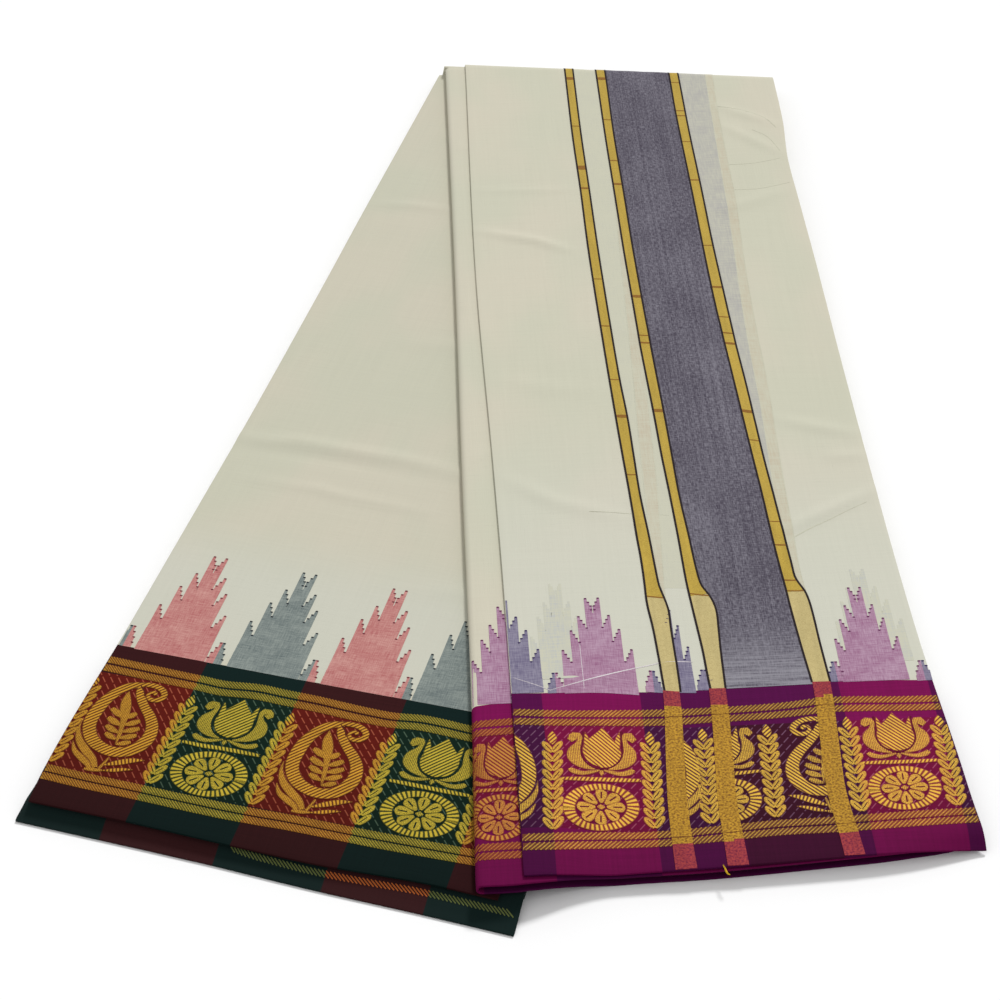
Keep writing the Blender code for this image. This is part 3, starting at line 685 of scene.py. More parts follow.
def ribbon(making, lie, rows, rise=ZARI_RISE, finish=0, slant=None, dome=0.5, limits=NO_LIMITS,
           closed=False, step=1.3, fine=2.4, coarse=1.0):
    """A closed ribbon laid on the cloth by lie(u, v, rise). Its ribs run across it, or square to slant.
    step and fine are how long and how wide a face may be, and coarse makes its ribs wider."""
    path = smooth_path(rows, step, closed)
    across = max(2, math.ceil(2 * max(w for _, _, w in path) / fine))
    rings, cut, run = [], [], 0.0
    for i, (u, v, w) in enumerate(path):
        w = max(w, 0.05)
        before = path[i - 1] if i or closed else path[0]
        after = path[(i + 1) % len(path)] if i + 1 < len(path) or closed else path[-1]
        du, dv = after[0] - before[0], after[1] - before[1]
        length = math.hypot(du, dv) or 1.0
        run += math.dist(path[i - 1][:2], (u, v)) if i else 0.0
        ring, outside = [], True
        for k in range(across + 1):
            t = 1 - 2 * k / across
            full, pv = u - dv / length * w * t, v + du / length * w * t
            pu = held(full, pv, limits)
            outside = outside and pu != full
            rib = (pu * slant[0] + pv * slant[1] if slant else run) / coarse
            at = lie(pu, pv, rise * (1 - dome * t * t))
            ring.append(making.point(at, (pu, pv), (rib, (1 - abs(t)) * w)))
        for t in (-1, 1):
            pv = v + du / length * w * t
            pu = held(u - dv / length * w * t, pv, limits)
            ring.append(making.point(lie(pu, pv, -SUNK), (pu, pv), (run, 0.0)))
        rings.append(ring)
        cut.append(outside)
    pairs = list(zip(range(len(rings)), range(1, len(rings)))) + ([(len(rings) - 1, 0)] if closed else [])
    for a, b in pairs:
        if not (cut[a] and cut[b]):
            making.skin([rings[a], rings[b]], finish, closed=True)
    if not closed:
        for ring, flip in ((rings[0], True), (rings[-1], False)):
            chosen = finish(*making.places[ring[0]]) if callable(finish) else finish
            making.face(list(reversed(ring)) if flip else ring, chosen)


class Border:
    """Where a border's motifs go on a sheet of cloth, and which way round they are."""

    def __init__(self, making, lie, low_line, high_line, hand, second_blocks, limits=NO_LIMITS):
        self.making, self.lie, self.low_line, self.high_line = making, lie, low_line, high_line
        self.hand, self.second_blocks, self.limits = hand, second_blocks, limits

    def over_blocks(self, kind):
        """Picks a kind of finish by the colour of the block below."""
        return lambda u, v: kind + any(low < u < high for low, high in self.second_blocks)

    def v(self, u, height):
        """Where a height up the woven border comes on the cloth."""
        low, high = along(self.low_line, u), along(self.high_line, u)
        return low + (height - LOW_ROPES) / (HIGH_ROPES - LOW_ROPES) * (high - low)

    def motif(self, rows, at, lean=0.0, wide=1.0, flip=1, kind=RIBBED, slant=None, rise=ZARI_RISE,
              limits=None, closed=False, step=1.3, dome=0.3, coarse=1.0):
        """One motif on a panel whose middle is at u = at, half way up."""
        path = []
        for x, height, half in rows:
            u = at + x * wide * flip * self.hand + lean * (height - BORDER_MIDDLE)
            path.append((u, self.v(u, height), half * (1 + wide) / 2))
        if slant:
            slant = (slant[0] * self.hand, slant[1])
        ribbon(self.making, self.lie, path, rise, self.over_blocks(kind), slant, dome,
               limits or self.limits, closed, step, coarse=coarse)

    def chain(self, at, lean=0.0, limits=None):
        """A column of leaves with a bud on top."""
        self.motif(CHAIN_BUD, at, lean, limits=limits, slant=RISING_RIBS)
        for k in range(CHAIN_LEAVES):
            top = CHAIN_TOP - CHAIN_PITCH * k
            for flip in (1, -1):
                leaf = [(x, top + y, half) for x, y, half in CHAIN_LEAF]
                slit = [(x, top + y, half) for x, y, half in CHAIN_SLIT]
                self.motif(leaf, at, lean, flip=flip, limits=limits, step=1.0, slant=PLAIN_GOLD, dome=0.45)
                self.motif(slit, at, lean, flip=flip, kind=DARK, rise=DARK_RISE, limits=limits)

    def rope(self, height, tall, u0, u1, pitch=1.45, lean=1.1, rib=0.55, grounded=True):
        """A rope of slanted ribs, at a height up the border from u0 to u1. lean is the ribs' slant, and rib
        their half width. It may have a ground of darker gold."""
        if grounded:
            columns = [mix(u0, u1, part) for part in parts(round((u1 - u0) / 4))]
            ground = [(u, self.v(u, height), tall * 0.48) for u in columns]
            ribbon(self.making, self.lie, ground, ROPE_GROUND_RISE, self.over_blocks(GROUND), dome=0.3,
                   limits=self.limits, step=2.0)
        for k in range(round((u1 - u0) / pitch)):
            u = u0 + (k + 0.5) * pitch
            rows = []
            for part in (-0.5, -0.25, 0.0, 0.25, 0.5):
                pu = u - part * tall * lean * self.hand
                rows.append((pu, self.v(pu, height + part * tall), rib - abs(part) * 0.16))
            ribbon(self.making, self.lie, rows, ZARI_RISE, self.over_blocks(RIBBED), PLAIN_GOLD, dome=0.4,
                   limits=self.limits, step=2.0, fine=0.7)

    def lotus(self, at, lean=0.0, wide=1.0, limits=None):
        """A lotus between two swans, over a rope bar and a wheel with a rosette in it."""
        both = {"at": at, "lean": lean, "wide": wide, "limits": limits}
        self.motif(LOTUS_CUP, slant=FALLING_RIBS, **both)
        for flip in (1, -1):
            self.motif(LOTUS_SIDE, flip=flip, slant=FALLING_RIBS, **both)
            self.motif(SWAN, flip=flip, kind=SPECKLED, **both)
            self.motif(BASE_SCROLL, flip=flip, kind=SPECKLED, **both)
            self.motif(LOTUS_LINE, flip=flip, kind=DARK, rise=DARK_RISE, **both)
        self.motif(BUD, kind=SPECKLED, **both)
        self.motif(BAR, slant=BAR_RIBS, **both)
        wheel = []
        for k in range(WHEEL_POINTS):
            turn = 2 * math.pi * k / WHEEL_POINTS
            half = WHEEL_THIN + WHEEL_SWELL * math.cos(turn) ** 2
            wheel.append((WHEEL_WIDE * math.cos(turn), WHEEL_AT + WHEEL_TALL * math.sin(turn), half))
        self.motif(wheel, closed=True, coarse=WHEEL_COARSE, **both)
        for k in range(PETALS):
            turn = 2 * math.pi * k / PETALS
            reach = (PETAL_WIDE * math.cos(turn), PETAL_TALL * math.sin(turn))
            petal, slit = ([(part * reach[0], WHEEL_AT + part * reach[1], half) for part, half in rows]
                           for rows in (PETAL, PETAL_SLIT))
            self.motif(petal, slant=PLAIN_GOLD, **both)
            self.motif(slit, kind=DARK, rise=DARK_RISE, **both)
        self.motif(WHEEL_DOT, kind=SPECKLED, **both)

    def paisley(self, at, lean=0.0, wide=1.0, limits=None):
        """A paisley with a curled tip and a leaf inside, on two crescents and two small leaves."""
        both = {"at": at, "lean": lean, "wide": wide, "limits": limits}
        self.motif(PAISLEY_BAND, slant=FALLING_RIBS, **both)
        self.motif(PAISLEY_CURL, slant=FALLING_RIBS, rise=CURL_RISE, **both)
        self.motif(PAISLEY_LINE, kind=DARK, rise=CURL_LINE_RISE, **both)
        self.motif(PLUME, kind=SPECKLED, **both)
        for lobe in PLUME_LOBES:
            self.motif(lobe, kind=SPECKLED, step=1.0, **both)
        for rows in (*CRESCENTS, PAISLEY_FOOT, PAISLEY_STEM):
            self.motif(rows, kind=SPECKLED, **both)
        for leaf in SIDE_LEAVES:
            self.motif(leaf, **both)


RIB_PITCH, NET_PITCH = 1.55, 0.75     # of the gold's ribs, and of the net that its speckles keep to


def zari(name, gold, gap, speckled=False):
    """Gold-wrapped thread over a dyed ground, in ribs or in speckles."""
    finish = Finish(name, 0.6, metallic=0.2)
    rib, edge = finish.place("Ribs")
    u, v = finish.place()
    broken = finish.speckle(u, v, 0.5, 0.5, 2.0, 7.0)
    if speckled:
        net = ((u + v) * (math.pi / NET_PITCH)).maths("SINE")
        net *= ((u - v) * (math.pi / NET_PITCH)).maths("SINE")
        shown = finish.step(0.5 - net * 0.5 + (broken - 0.5) * 0.9, 0.30, 0.62)
    else:
        grain = ((rib * (2 * math.pi / RIB_PITCH)).maths("SINE") + 1) * 0.5
        shown = finish.step(grain + (broken - 0.5) * 0.8, 0.20, 0.66)
    wear_and_painted_light = finish.speckle(u, v, 9.0, 9.0, 3.0, 8.0)
    # Towards each edge the gold gives way to the gap colour: a dark outline of painted shade around the
    # raised thread.
    shown = shown * finish.step(edge, 0.05, 0.60)
    colour = finish.blend(shown, gap, gold)
    # Brighter and darker patches and grains: painted glints and dull spots of the metal thread, over its
    # uneven tone.
    colour = finish.tint(colour, 0.5 + wear_and_painted_light * 0.6 + broken * 0.4)
    bump = finish.node("Bump", {}, {"Strength": 0.6, "Distance": 0.12 * MM, "Height": shown})
    return finish.done(colour, bump)


def fine_thread(name, colour):
    """Plain thread of one colour, a little uneven."""
    finish = Finish(name, 0.8)
    u, v = finish.place()
    even = finish.blend(0.0, colour, colour)
    return finish.done(finish.tint(even, 0.7 + finish.speckle(u, v, 1.0, 1.0) * 0.6))


def gold_finishes(blocks, prefix=""):
    """Ribbed and speckled zari over a border's blocks. Rows: ground, gold, its gaps, those of speckles."""
    ribbed = [zari(f"{prefix}zari_on_{ground}", gold, gap) for ground, gold, gap, _ in blocks]
    return ribbed + [zari(f"{prefix}speckled_zari_on_{ground}", gold, gap, speckled=True)
                     for ground, gold, _, gap in blocks]


left_zari = gold_finishes((("maroon", dye(190, 140, 40), dye(92, 44, 14), dye(104, 56, 20)),
                           ("green", dye(180, 158, 48), dye(52, 56, 18), dye(58, 62, 24))))
left_zari += [fine_thread("maroon_thread", dye(78, 26, 16)), fine_thread("green_thread", dye(16, 34, 22)),
              fine_thread("rope_ground_on_maroon", dye(158, 114, 38)),
              fine_thread("rope_ground_on_green", dye(128, 116, 40))]
# Places along the border.
LEFT_CHAINS = (-1.4, 45.0, 91.3, 138.4, 184.2)
LEFT_PAISLEYS = (21.5, 115.7)
LEFT_LOTUSES = (68.0, 162.0)
# Columns: height up the border, and the rope's own.
ROPES = ((LOW_ROPES - 2.35, 3.8), (LOW_ROPES + 2.35, 3.8), (HIGH_ROPES - 2.6, 4.0), (HIGH_ROPES + 2.6, 4.0))
LOW_ROPES_FROM, HIGH_ROPES_FROM, LEFT_ROPES_TO = -1.3, -0.4, 205.0

making = Making()
left_limits = (moved(LEFT_TOP_LEFT, 0.4), 206.0)
border = Border(making, left_top_at, LEFT_LOW_LINE, LEFT_HIGH_LINE, 1, LEFT_GREEN, left_limits)
for height, tall in ROPES:
    border.rope(height, tall, LOW_ROPES_FROM if height < BORDER_MIDDLE else HIGH_ROPES_FROM, LEFT_ROPES_TO)
for at in LEFT_CHAINS:
    border.chain(at)
for at in LEFT_PAISLEYS:
    border.paisley(at)
for at in LEFT_LOTUSES:
    border.lotus(at)
left_border_zari = making.piece("left_border_zari", *left_zari, crisp=True)

# ---------------------------------------------------------------- first rope of the left under sheet
# The under sheet comes further down than the face, and the edge of its own border shows there as one
# thin rope of zari along the face's selvedge.
UNDER_ROPE_LINE = ((86, 1.2), (98, -0.9), (110, -1.9), (130, -2.9), (150, -2.8), (174, -2.4), (206, -3.6),
                   (214, -4.0))
UNDER_ROPE_FROM, UNDER_ROPE_TO = 90.0, 212.0
UNDER_ROPE_TALL, UNDER_ROPE_PITCH, UNDER_ROPE_LEAN, UNDER_ROPE_RIB = 2.8, 1.75, 1.3, 0.30

making = Making()
border = Border(making, under_sheet_at, UNDER_ROPE_LINE, moved(UNDER_ROPE_LINE, HIGH_ROPES - LOW_ROPES), 1,
                UNDER_GREEN)
border.rope(LOW_ROPES, UNDER_ROPE_TALL, UNDER_ROPE_FROM, UNDER_ROPE_TO, UNDER_ROPE_PITCH, UNDER_ROPE_LEAN,
            UNDER_ROPE_RIB, grounded=False)
under_rope = making.piece("under_sheet_rope", fine_thread("dim_zari_on_maroon", dye(172, 92, 44)),
                          fine_thread("dim_zari_on_green", dye(96, 104, 58)), crisp=True)

# ---------------------------------------------------------------- spires above the left border
# Above each border block stands a stepped spire, woven as an extra weft of fine dyed thread. Small
# spires, half in each neighbour's colour, stand between them. Every step ends in a dark knot.
SPIRE_RISE, KNOT_RISE = 0.12, 0.26
SPIRE_BASE = 100.0        # height of the border's top
SPIRE_FOOT, FOOT_STEPS = 17.0, 4      # half width of its foot, and the steps from there to its first tier
SPIRE_TIERS = ((16.6, 119.0), (11.9, 133.0), (7.8, 143.2), (3.7, 156.5))      # half width, top
SPIRE_STEP, SPIRE_SPIKE = 2.85, (4.7, 3.5, 2.4, 1.4)      # height and widths of a spike's steps
SPIKE_TIP_CUT = 0.9       # the last of them is this much lower
SMALL_STEP, SMALL_WIDTHS = 3.4, (7.6, 6.6, 4.5, 2.5)
FOOT_LAP, SMALL_LAP = 0.3, 0.2        # how far the feet reach down over the border
LEAST_SHOWN = 0.2         # a step with less than this of it in sight is left out
KNOT = 2                  # the first finish of the knots, after those of the two threads
KNOT_ROWS = ((-0.6, 0.1, 0.25), (0.0, 0.0, 0.52), (0.6, 0.1, 0.25))
KNOT_ROOM, KNOT_DOWN = 0.8, 0.5       # kept clear at the limits, and how far below a step's top it is


def knot(making, lie, u, v, colour, limits):
    """A dark knot at the corner of a step whose top is at v."""
    if limits[0] + KNOT_ROOM < u < limits[1] - KNOT_ROOM:
        rows = [(u + across, v - KNOT_DOWN + up, half) for across, up, half in KNOT_ROWS]
        ribbon(making, lie, rows, KNOT_RISE, KNOT + colour, dome=0.5, step=0.8)


def step_of_spire(making, lie, ends, low_v, high_v, colour, limits, rise=SPIRE_RISE):
    """One flat step between two places across the cloth. Says whether its limits leave anything of it."""
    low_u, high_u = max(min(ends), limits[0]), min(max(ends), limits[1])
    if high_u - low_u < LEAST_SHOWN:
        return False
    rows = [((low_u + high_u) / 2, v, (high_u - low_u) / 2) for v in (low_v, high_v)]
    ribbon(making, lie, rows, rise, colour, dome=0.0, step=2.6, fine=2.8)
    return True


def spire(making, lie, base, at, tall=1.0, wide=1.0, limits=NO_LIMITS, colour=0, knots=True,
          rise=SPIRE_RISE):
    """A stepped spire whose foot is at the height base, with spikes on its shoulders."""
    def height(v):
        return base + (v - SPIRE_BASE) * tall

    def step(ends, low, high):
        step_of_spire(making, lie, ends, low, high, colour, limits, rise)

    below = SPIRE_BASE
    for index, (half, top) in enumerate(SPIRE_TIERS):
        half *= wide
        if index == 0:
            for k in range(FOOT_STEPS):
                low, high = (height(mix(below, top, part / FOOT_STEPS)) for part in (k, k + 1))
                spread = mix(SPIRE_FOOT * wide, half, (k + 0.5) / FOOT_STEPS)
                step((at - spread, at + spread), low - (FOOT_LAP if k == 0 else 0), high)
        else:
            step((at - half, at + half), height(below), height(top))
        below = top
        for side in (-1, 1):
            for k, step_wide in enumerate(SPIRE_SPIKE):
                outer, inner = at + side * half, at + side * (half - min(step_wide * wide, half * 0.94))
                low, high = height(top + SPIRE_STEP * k), height(top + SPIRE_STEP * (k + 1))
                last = k == len(SPIRE_SPIKE) - 1
                step((outer, inner), low, high - (SPIKE_TIP_CUT if last else 0))
                if knots:
                    knot_at = (outer + inner) / 2 if last else inner + side * 0.55
                    knot(making, lie, knot_at, high, colour, limits)


def small_spire(making, lie, base, at, colours, limits, tall=1.0):
    """A small spire, with one half in each of two colours."""
    for side, colour in zip((-1, 1), colours):
        for k, step_wide in enumerate(SMALL_WIDTHS):
            low, high = base + SMALL_STEP * k * tall, base + SMALL_STEP * (k + 1) * tall
            ends = (at, at + side * step_wide / 2)
            if step_of_spire(making, lie, ends, low - SMALL_LAP, high, colour, limits):
                knot(making, lie, at + side * (step_wide / 2 - 0.4), high, colour, limits)


def spire_thread(name, colour, pale):
    """Fine dyed weft over undyed warp, streaky both ways."""
    finish = Finish(name, 0.9)
    u, v = finish.place()
    weft, warp = finish.speckle(u, v, 6.0, 0.4, 3.0, 21.0), finish.speckle(u, v, 0.4, 6.0, 3.0, 22.0)
    cloudy = finish.speckle(u, v, 16.0, 9.0, 2.0, 23.0)
    shown = finish.step(weft * 0.6 + warp * 0.5 + cloudy * 0.35, 0.42, 1.0)
    mixed = finish.blend(shown, colour, pale)
    return finish.done(finish.tint(mixed, 0.88 + (weft + warp) * 0.12), finish.weave(u, v, 0.10))


LEFT_SPIRES = ((24.9, 0), (69.6, 1), (114.0, 0), (156.5, 1), (200.0, 0))      # place, colour
# Columns: place, colours of the left and right halves.
LEFT_SMALL_SPIRES = ((2.0, 1, 0), (46.0, 0, 1), (90.6, 1, 0), (135.0, 0, 1), (178.5, 1, 0))
LEFT_SPIRE_LIMITS = (0.3, 203.5)
making = Making()
for at, colour in LEFT_SPIRES:
    spire(making, left_top_at, along(LEFT_BORDER_TOP, at), at, limits=LEFT_SPIRE_LIMITS, colour=colour)
for at, *halves in LEFT_SMALL_SPIRES:
    small_spire(making, left_top_at, along(LEFT_BORDER_TOP, at), at, halves, LEFT_SPIRE_LIMITS)
left_spires = making.piece("left_spires", spire_thread("pink_thread", dye(168, 90, 92), dye(200, 150, 142)),
                           spire_thread("grey_thread", dye(92, 103, 104), dye(146, 154, 148)),
                           fine_thread("pink_knots", dye(112, 52, 60)),
                           fine_thread("grey_knots", dye(40, 46, 52)), crisp=True)

# ---------------------------------------------------------------- right leg, hidden pleats
# The right leg's inner pleats, pressed flat between the two sides of the second fold. They lie over
# the left leg and come down to the table past its edge. Dyed at the foot, where they show as dark
# edges: their magenta and purple are painted darker than the face's, as shade. Undyed cotton above.
RIGHT_BASE = LEFT_TOP_BASE + SHEET + GAP
RIGHT_STACK_HEIGHT = 2.8
RIGHT_STACK_BASE = SHEET + GAP        # above what the leg lies on
RIGHT_PLEAT_BORDER = 98.0
RIGHT_PLEAT_REACH = 0.4
# The leg's edges. Columns: v, u.
TOP_LEFT_EDGE = ((0, 0), (160, 0.3), (260, -0.5), (420, -2.5), (640, 0))
TOP_RIGHT_EDGE = ((0, 193.8), (12, 192.7), (30, 191.5), (60, 190.4), (130, 187.2), (240, 186.0),
                  (420, 186.2), (480, 185.6), (530, 185.2), (570, 188.0), (620, 189.2))
STRIP_EDGE = ((0, -19.6), (100, -17.4), (260, -16.0), (420, -14.0), (650, -12.4))
# Lower ends of the hidden pleats and of the top sheet. Columns: u, v.
RIGHT_STACK_FOOT = ((-20, -2.8), (0, -2.2), (30, 2.0), (80, 3.6), (135, 7.4), (150, 10.2), (165, 15.0),
                    (178, 18.5), (192, 21.5))
TOP_SELVEDGE = ((-20, -4.0), (0, -3.8), (30, -0.3), (80, 1.4), (135, 4.0), (165, 6.0), (190, 8.2))
# Near the free corner the outer sheets drop to the table. Columns: u, drop.
CORNER_DROP = ((0, 0.0), (140, 0.0), (150, 0.2), (165, 1.2), (176, 2.6), (192, 5.0))
DROP_REACH, DROP_LEAD = 11.0, 0.3     # the drop fades out over this, and leads on the sheet below
# Where the right leg comes down to the table, past the left leg's right edge. Columns: v, width of the
# slope.
SLOPE_WIDTH = ((0, 34), (150, 55), (400, 80), (660, 90))
SLOPE_INSET = 1.0         # the slope starts this far inside that edge
# Folds of the hidden stack. Columns as in the left leg's.
RIGHT_PLEATS = ((0.00, 0.22, 0.3, 1.2, 0.0), (0.25, 0.46, 0.9, 0.2, 1.6), (0.50, 0.72, 0.2, 0.9, 0.4),
                (0.76, 1.00, 0.7, 0.3, 1.2))
STACK_LEFT_INSET, STACK_RIGHT_INSET = 6.4, 5.4


def slope_down(x, y):
    """Height of what the right leg lies on, in mm."""
    u, v = right_to_left(x, y)
    past_edge = u - (along(LEFT_LEG_RIGHT, v) - SLOPE_INSET)
    return RIGHT_BASE * (1 - smooth_step(past_edge / along(SLOPE_WIDTH, v)))


def right_point(u, v, level):
    return on_table(u, v, slope_down(u, v) + level)


def corner_drop(u, v):
    """How far the outer sheets have dropped at a place near the free corner."""
    fade = min(max(1 - (v - along(TOP_SELVEDGE, u)) / DROP_REACH, 0.0), 1.0)
    return along(CORNER_DROP, u) * fade ** 2


def right_across(left_edge, right_edge, left_inset=0.0, right_inset=0.0):
    return lambda part, v: mix(along(left_edge, v) + left_inset, along(right_edge, v) - right_inset, part)


# The pleats' magenta and purple are painted darker than the face's, as shade of the hidden layers.
shaded_right_pleat_cotton = cotton("shaded_right_pleat_cotton", band_spans=((-30, 20), (57, 146), (186, 230)),
                            band_colours=(dye(80, 8, 50), dye(52, 8, 40)), band_reach=(-20, 96))
making = Making()
for low, high, left_in, right_in, foot_in in RIGHT_PLEATS:
    z_low, z_high = (RIGHT_STACK_BASE + RIGHT_STACK_HEIGHT * part for part in (low, high))
    across = right_across(STRIP_EDGE, TOP_RIGHT_EDGE, STACK_LEFT_INSET + left_in,
                          STACK_RIGHT_INSET + right_in)
    grids = leg_grids(parts(30), across, lambda u: along(RIGHT_STACK_FOOT, u) + foot_in,
                      lambda u: RIGHT_PLEAT_BORDER, lambda u: fold_v(u) - PLEATS_END, (10, 40),
                      lambda part, v, down: right_point(across(part, v), v, mix(z_high, z_low, down)))
    sheet_of_cloth(making, *grids, reach=RIGHT_PLEAT_REACH)
right_pleats = making.piece("right_leg_pleats", shaded_right_pleat_cotton)
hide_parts("right_leg_folds")

# ---------------------------------------------------------------- right leg, second fold
# A wide pleat that wraps the hidden ones. It runs under them, round their left side, where it shows
# as a strip, and back over them. Its mouth is open at the foot. Cotton, dyed magenta at the foot.
STRIP_TOP = 2 * SHEET + 2 * GAP + RIGHT_STACK_HEIGHT
STRIP_RADIUS = STRIP_TOP / 2
STRIP_RIGHT_INSET = 1.6 + EDGE_REACH  # from the top sheet's right edge
STRIP_SHOWS_TO = 3        # u up to which it shows, and is creased
STRIP_LIFT, STRIP_LIFT_OVER = 0.10, 3 # unevenness, and how far past the bend it is all there
STRIP_CROWDING = 0.8      # below 1, the columns over the top crowd towards the bend
STRIP_COLUMNS = 60, 12, 30            # over the top, round the bend and below
STRIP_SELVEDGE = ((-20, -7.0), (0, -6.6), (30, -1.0), (80, 0.8), (135, 4.4), (150, 5.6), (165, 7.4),
                  (176, 8.8), (183, 10.4), (192, 12.6))
STRIP_BORDER_TOP = ((-25, 92.4), (-17, 93.9), (-1, 95.6), (20, 96.5), (190, 96.5))
STRIP_CREASES = (
    (((-17, 545), (-9, 553), (-1, 560)), 2.2, 0.50), (((-16, 259), (-9, 265), (-1, 273)), 2.2, 0.45),
    (((-15, 389), (-6, 398)), 2.4, 0.25), (((-16, 140), (-2, 149)), 2.4, 0.3))


def strip_at(u, v, rise):
    """A place on the second fold's face. Left of its bend, u runs on round it and back under the pleats."""
    bend = along(STRIP_EDGE, v) + STRIP_RADIUS
    if u >= bend:
        lift = STRIP_LIFT * smooth_step((u - bend) / STRIP_LIFT_OVER) * (1 + rumple(u, v, 4.0) * 3)
        lift = creases_at(STRIP_CREASES, u, v) + lift if u < STRIP_SHOWS_TO else 0.0
        return right_point(u, v, STRIP_TOP + rise + lift - corner_drop(u, v - DROP_LEAD))
    turn = (bend - u) / STRIP_RADIUS
    if turn <= math.pi:
        radius = STRIP_RADIUS + rise
        x = bend - radius * math.sin(turn)
        return right_point(x, v, STRIP_RADIUS + radius * math.cos(turn))
    return right_point(bend + (turn - math.pi) * STRIP_RADIUS, v, -rise)


def strip_across(token, v):
    """Column of a token (0 to 1 over the top, 1 to 2 round the bend, 2 to 3 below), in the plan."""
    bend = along(STRIP_EDGE, v) + STRIP_RADIUS
    right = along(TOP_RIGHT_EDGE, v) - STRIP_RIGHT_INSET
    if token <= 1:
        return mix(right, bend, token ** STRIP_CROWDING)
    if token <= 2:
        return bend - STRIP_RADIUS * math.sin((token - 1) * math.pi)
    return mix(bend, right, token - 2)


def strip_mark(token, v):
    """The same, along the cloth."""
    bend = along(STRIP_EDGE, v) + STRIP_RADIUS
    if token <= 1:
        return strip_across(token, v)
    if token <= 2:
        return bend - (token - 1) * math.pi * STRIP_RADIUS
    return bend - math.pi * STRIP_RADIUS - (strip_across(token, v) - bend)


strip_cotton = cotton("strip_cotton")
strip_border_cotton = border_cloth("magenta_cotton", ((-400, -26.0), (13.5, 57)), (MAGENTA, PURPLE),
                                   (dye(108, 10, 48), dye(62, 11, 54)), (dye(158, 80, 96), dye(116, 80, 104)),
                                   (22.0, 77.0), -1)
making = Making()
tokens = [turn + i / count for turn, count in enumerate(STRIP_COLUMNS) for i in range(count)] + [3.0]
grids = leg_grids(list(reversed(tokens)), strip_across, lambda u: along(STRIP_SELVEDGE, u) + EDGE_REACH,
                  lambda u: along(STRIP_BORDER_TOP, u), lambda u: fold_v(u) - GAP, (36, 120),
                  lambda token, v, down: strip_at(strip_mark(token, v), v, -SHEET * down), mark=strip_mark)
sheet_of_cloth(making, *grids, reach=EDGE_REACH, finish=dyed_below(STRIP_BORDER_TOP))
strip = making.piece("right_leg_strip_cloth", strip_cotton, strip_border_cotton)
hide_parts("right_leg_second_fold")

# ---------------------------------------------------------------- inner layers at the fold
# Where the cloth is folded across its middle, all the inner pleats of both legs turn together over
# the line of the fold. They show only as rounded edges at its two ends. Undyed cotton.
FOLD_HEIGHT = 6.6         # the layers turn about this height
# Columns: outer radius, inner radius, insets at the left and right.
ROLL_LEAVES = ((5.3, 4.35, 0.3, 2.4), (4.2, 3.3, 1.3, 3.6), (3.15, 2.25, 0.6, 2.8), (2.1, 1.3, 2.2, 4.4))
ROLL_LEFT, ROLL_RIGHT, ROLL_REACH = -12.8, 187.0, 0.3
ROLL_TURNS, ROLL_COLUMNS = 24, 40
fold_run = Vector((FOLD_RIGHT[0] - FOLD_LEFT[0], FOLD_RIGHT[1] - FOLD_LEFT[1])).normalized()
FOLD_BACK, FOLD_DRIFT = Vector((-fold_run.y, fold_run.x)), fold_run * (fold_run.y / fold_run.x)


def round_fold(u, radius, turn):
    """A place on the fold, where threads drift sideways because the legs are fanned. Sizes in mm."""
    flat = Vector((u, fold_v(u))) + FOLD_DRIFT * FOLD_HEIGHT * turn + FOLD_BACK * radius * math.sin(turn)
    return on_table(flat.x, flat.y, FOLD_HEIGHT + radius * math.cos(turn))


making = Making()
for outer, inner, left_in, right_in in ROLL_LEAVES:
    columns = [mix(ROLL_LEFT + left_in, ROLL_RIGHT - right_in, part) for part in parts(ROLL_COLUMNS)]
    turns = [math.pi * step / ROLL_TURNS for step in range(ROLL_TURNS + 1)]
    top, bottom = ([[round_fold(u, radius, turn) for u in columns] for turn in turns]
                   for radius in (outer, inner))
    places = [[(u, fold_v(u) + outer * turn) for u in columns] for turn in turns]
    sheet_of_cloth(making, top, bottom, places, reach=ROLL_REACH)
roll = making.piece("fold_layers", strip_cotton)
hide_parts("top_fold_roll")

# ---------------------------------------------------------------- right leg, top sheet
# The outermost pleat. It runs up the right leg, over the fold, and down behind it to the table. Its
# lowest 100 mm are dyed in magenta and purple blocks. Undyed cotton above, with soft creases.
RIGHT_TOP = STRIP_TOP + GAP + SHEET
FOLD_RADIUS = RIGHT_BASE + RIGHT_TOP - FOLD_HEIGHT
LIFT_FADES_OVER = 6       # the creases and unevenness fade out over this past the fold
RIGHT_BORDER_TOP = ((0, 99.7), (10, 99.2), (20, 98.8), (30, 98.4), (40, 98.4), (50, 99.2), (58, 100.0),
                    (65, 100.8), (80, 102.5), (100, 103.5), (120, 104.2), (138, 104.8), (151, 104.7),
                    (171, 104.2), (193, 102.8))
RIGHT_CREASES = (
    (((-1.2, 464.3), (32.4, 452.1), (51.2, 440.9)), 3.0, 1.17),
    (((-1.2, 505.6), (29.7, 503.6), (57.6, 502.6)), 2.5, 0.49),
    (((3.0, 247.9), (28.1, 227.5), (62, 213.6)), 4.5, 0.78),
    (((148.7, 590.5), (165, 579.3), (182.5, 566.6)), 3.5, 0.78),
    (((150.3, 568.3), (165, 551.4), (181.6, 534.7)), 3.5, 0.78),
    (((131.2, 472.8), (155.1, 483), (182.3, 498.4)), 4.5, 0.68),
    (((144.3, 292.1), (165.8, 284.8), (185.9, 278.2)), 4.0, 0.81),
    (((164.1, 260.7), (186, 261.7)), 3.5, 0.65),
    (((136.7, 207.4), (158.8, 219.5), (185.1, 234.9)), 3.8, 1.30),
    (((17.1, 100.4), (41.7, 107.9), (66.7, 117.5)), 3.0, 0.59),
    (((66, 117.9), (82.3, 119.7)), 3.0, 0.45),
    (((59.6, 367.3), (99.4, 361.3), (139.6, 368.5)), 9.0, 0.45),
    (((7.8, 325.5), (29.7, 317.5), (55.6, 313.5)), 6.0, 0.39))


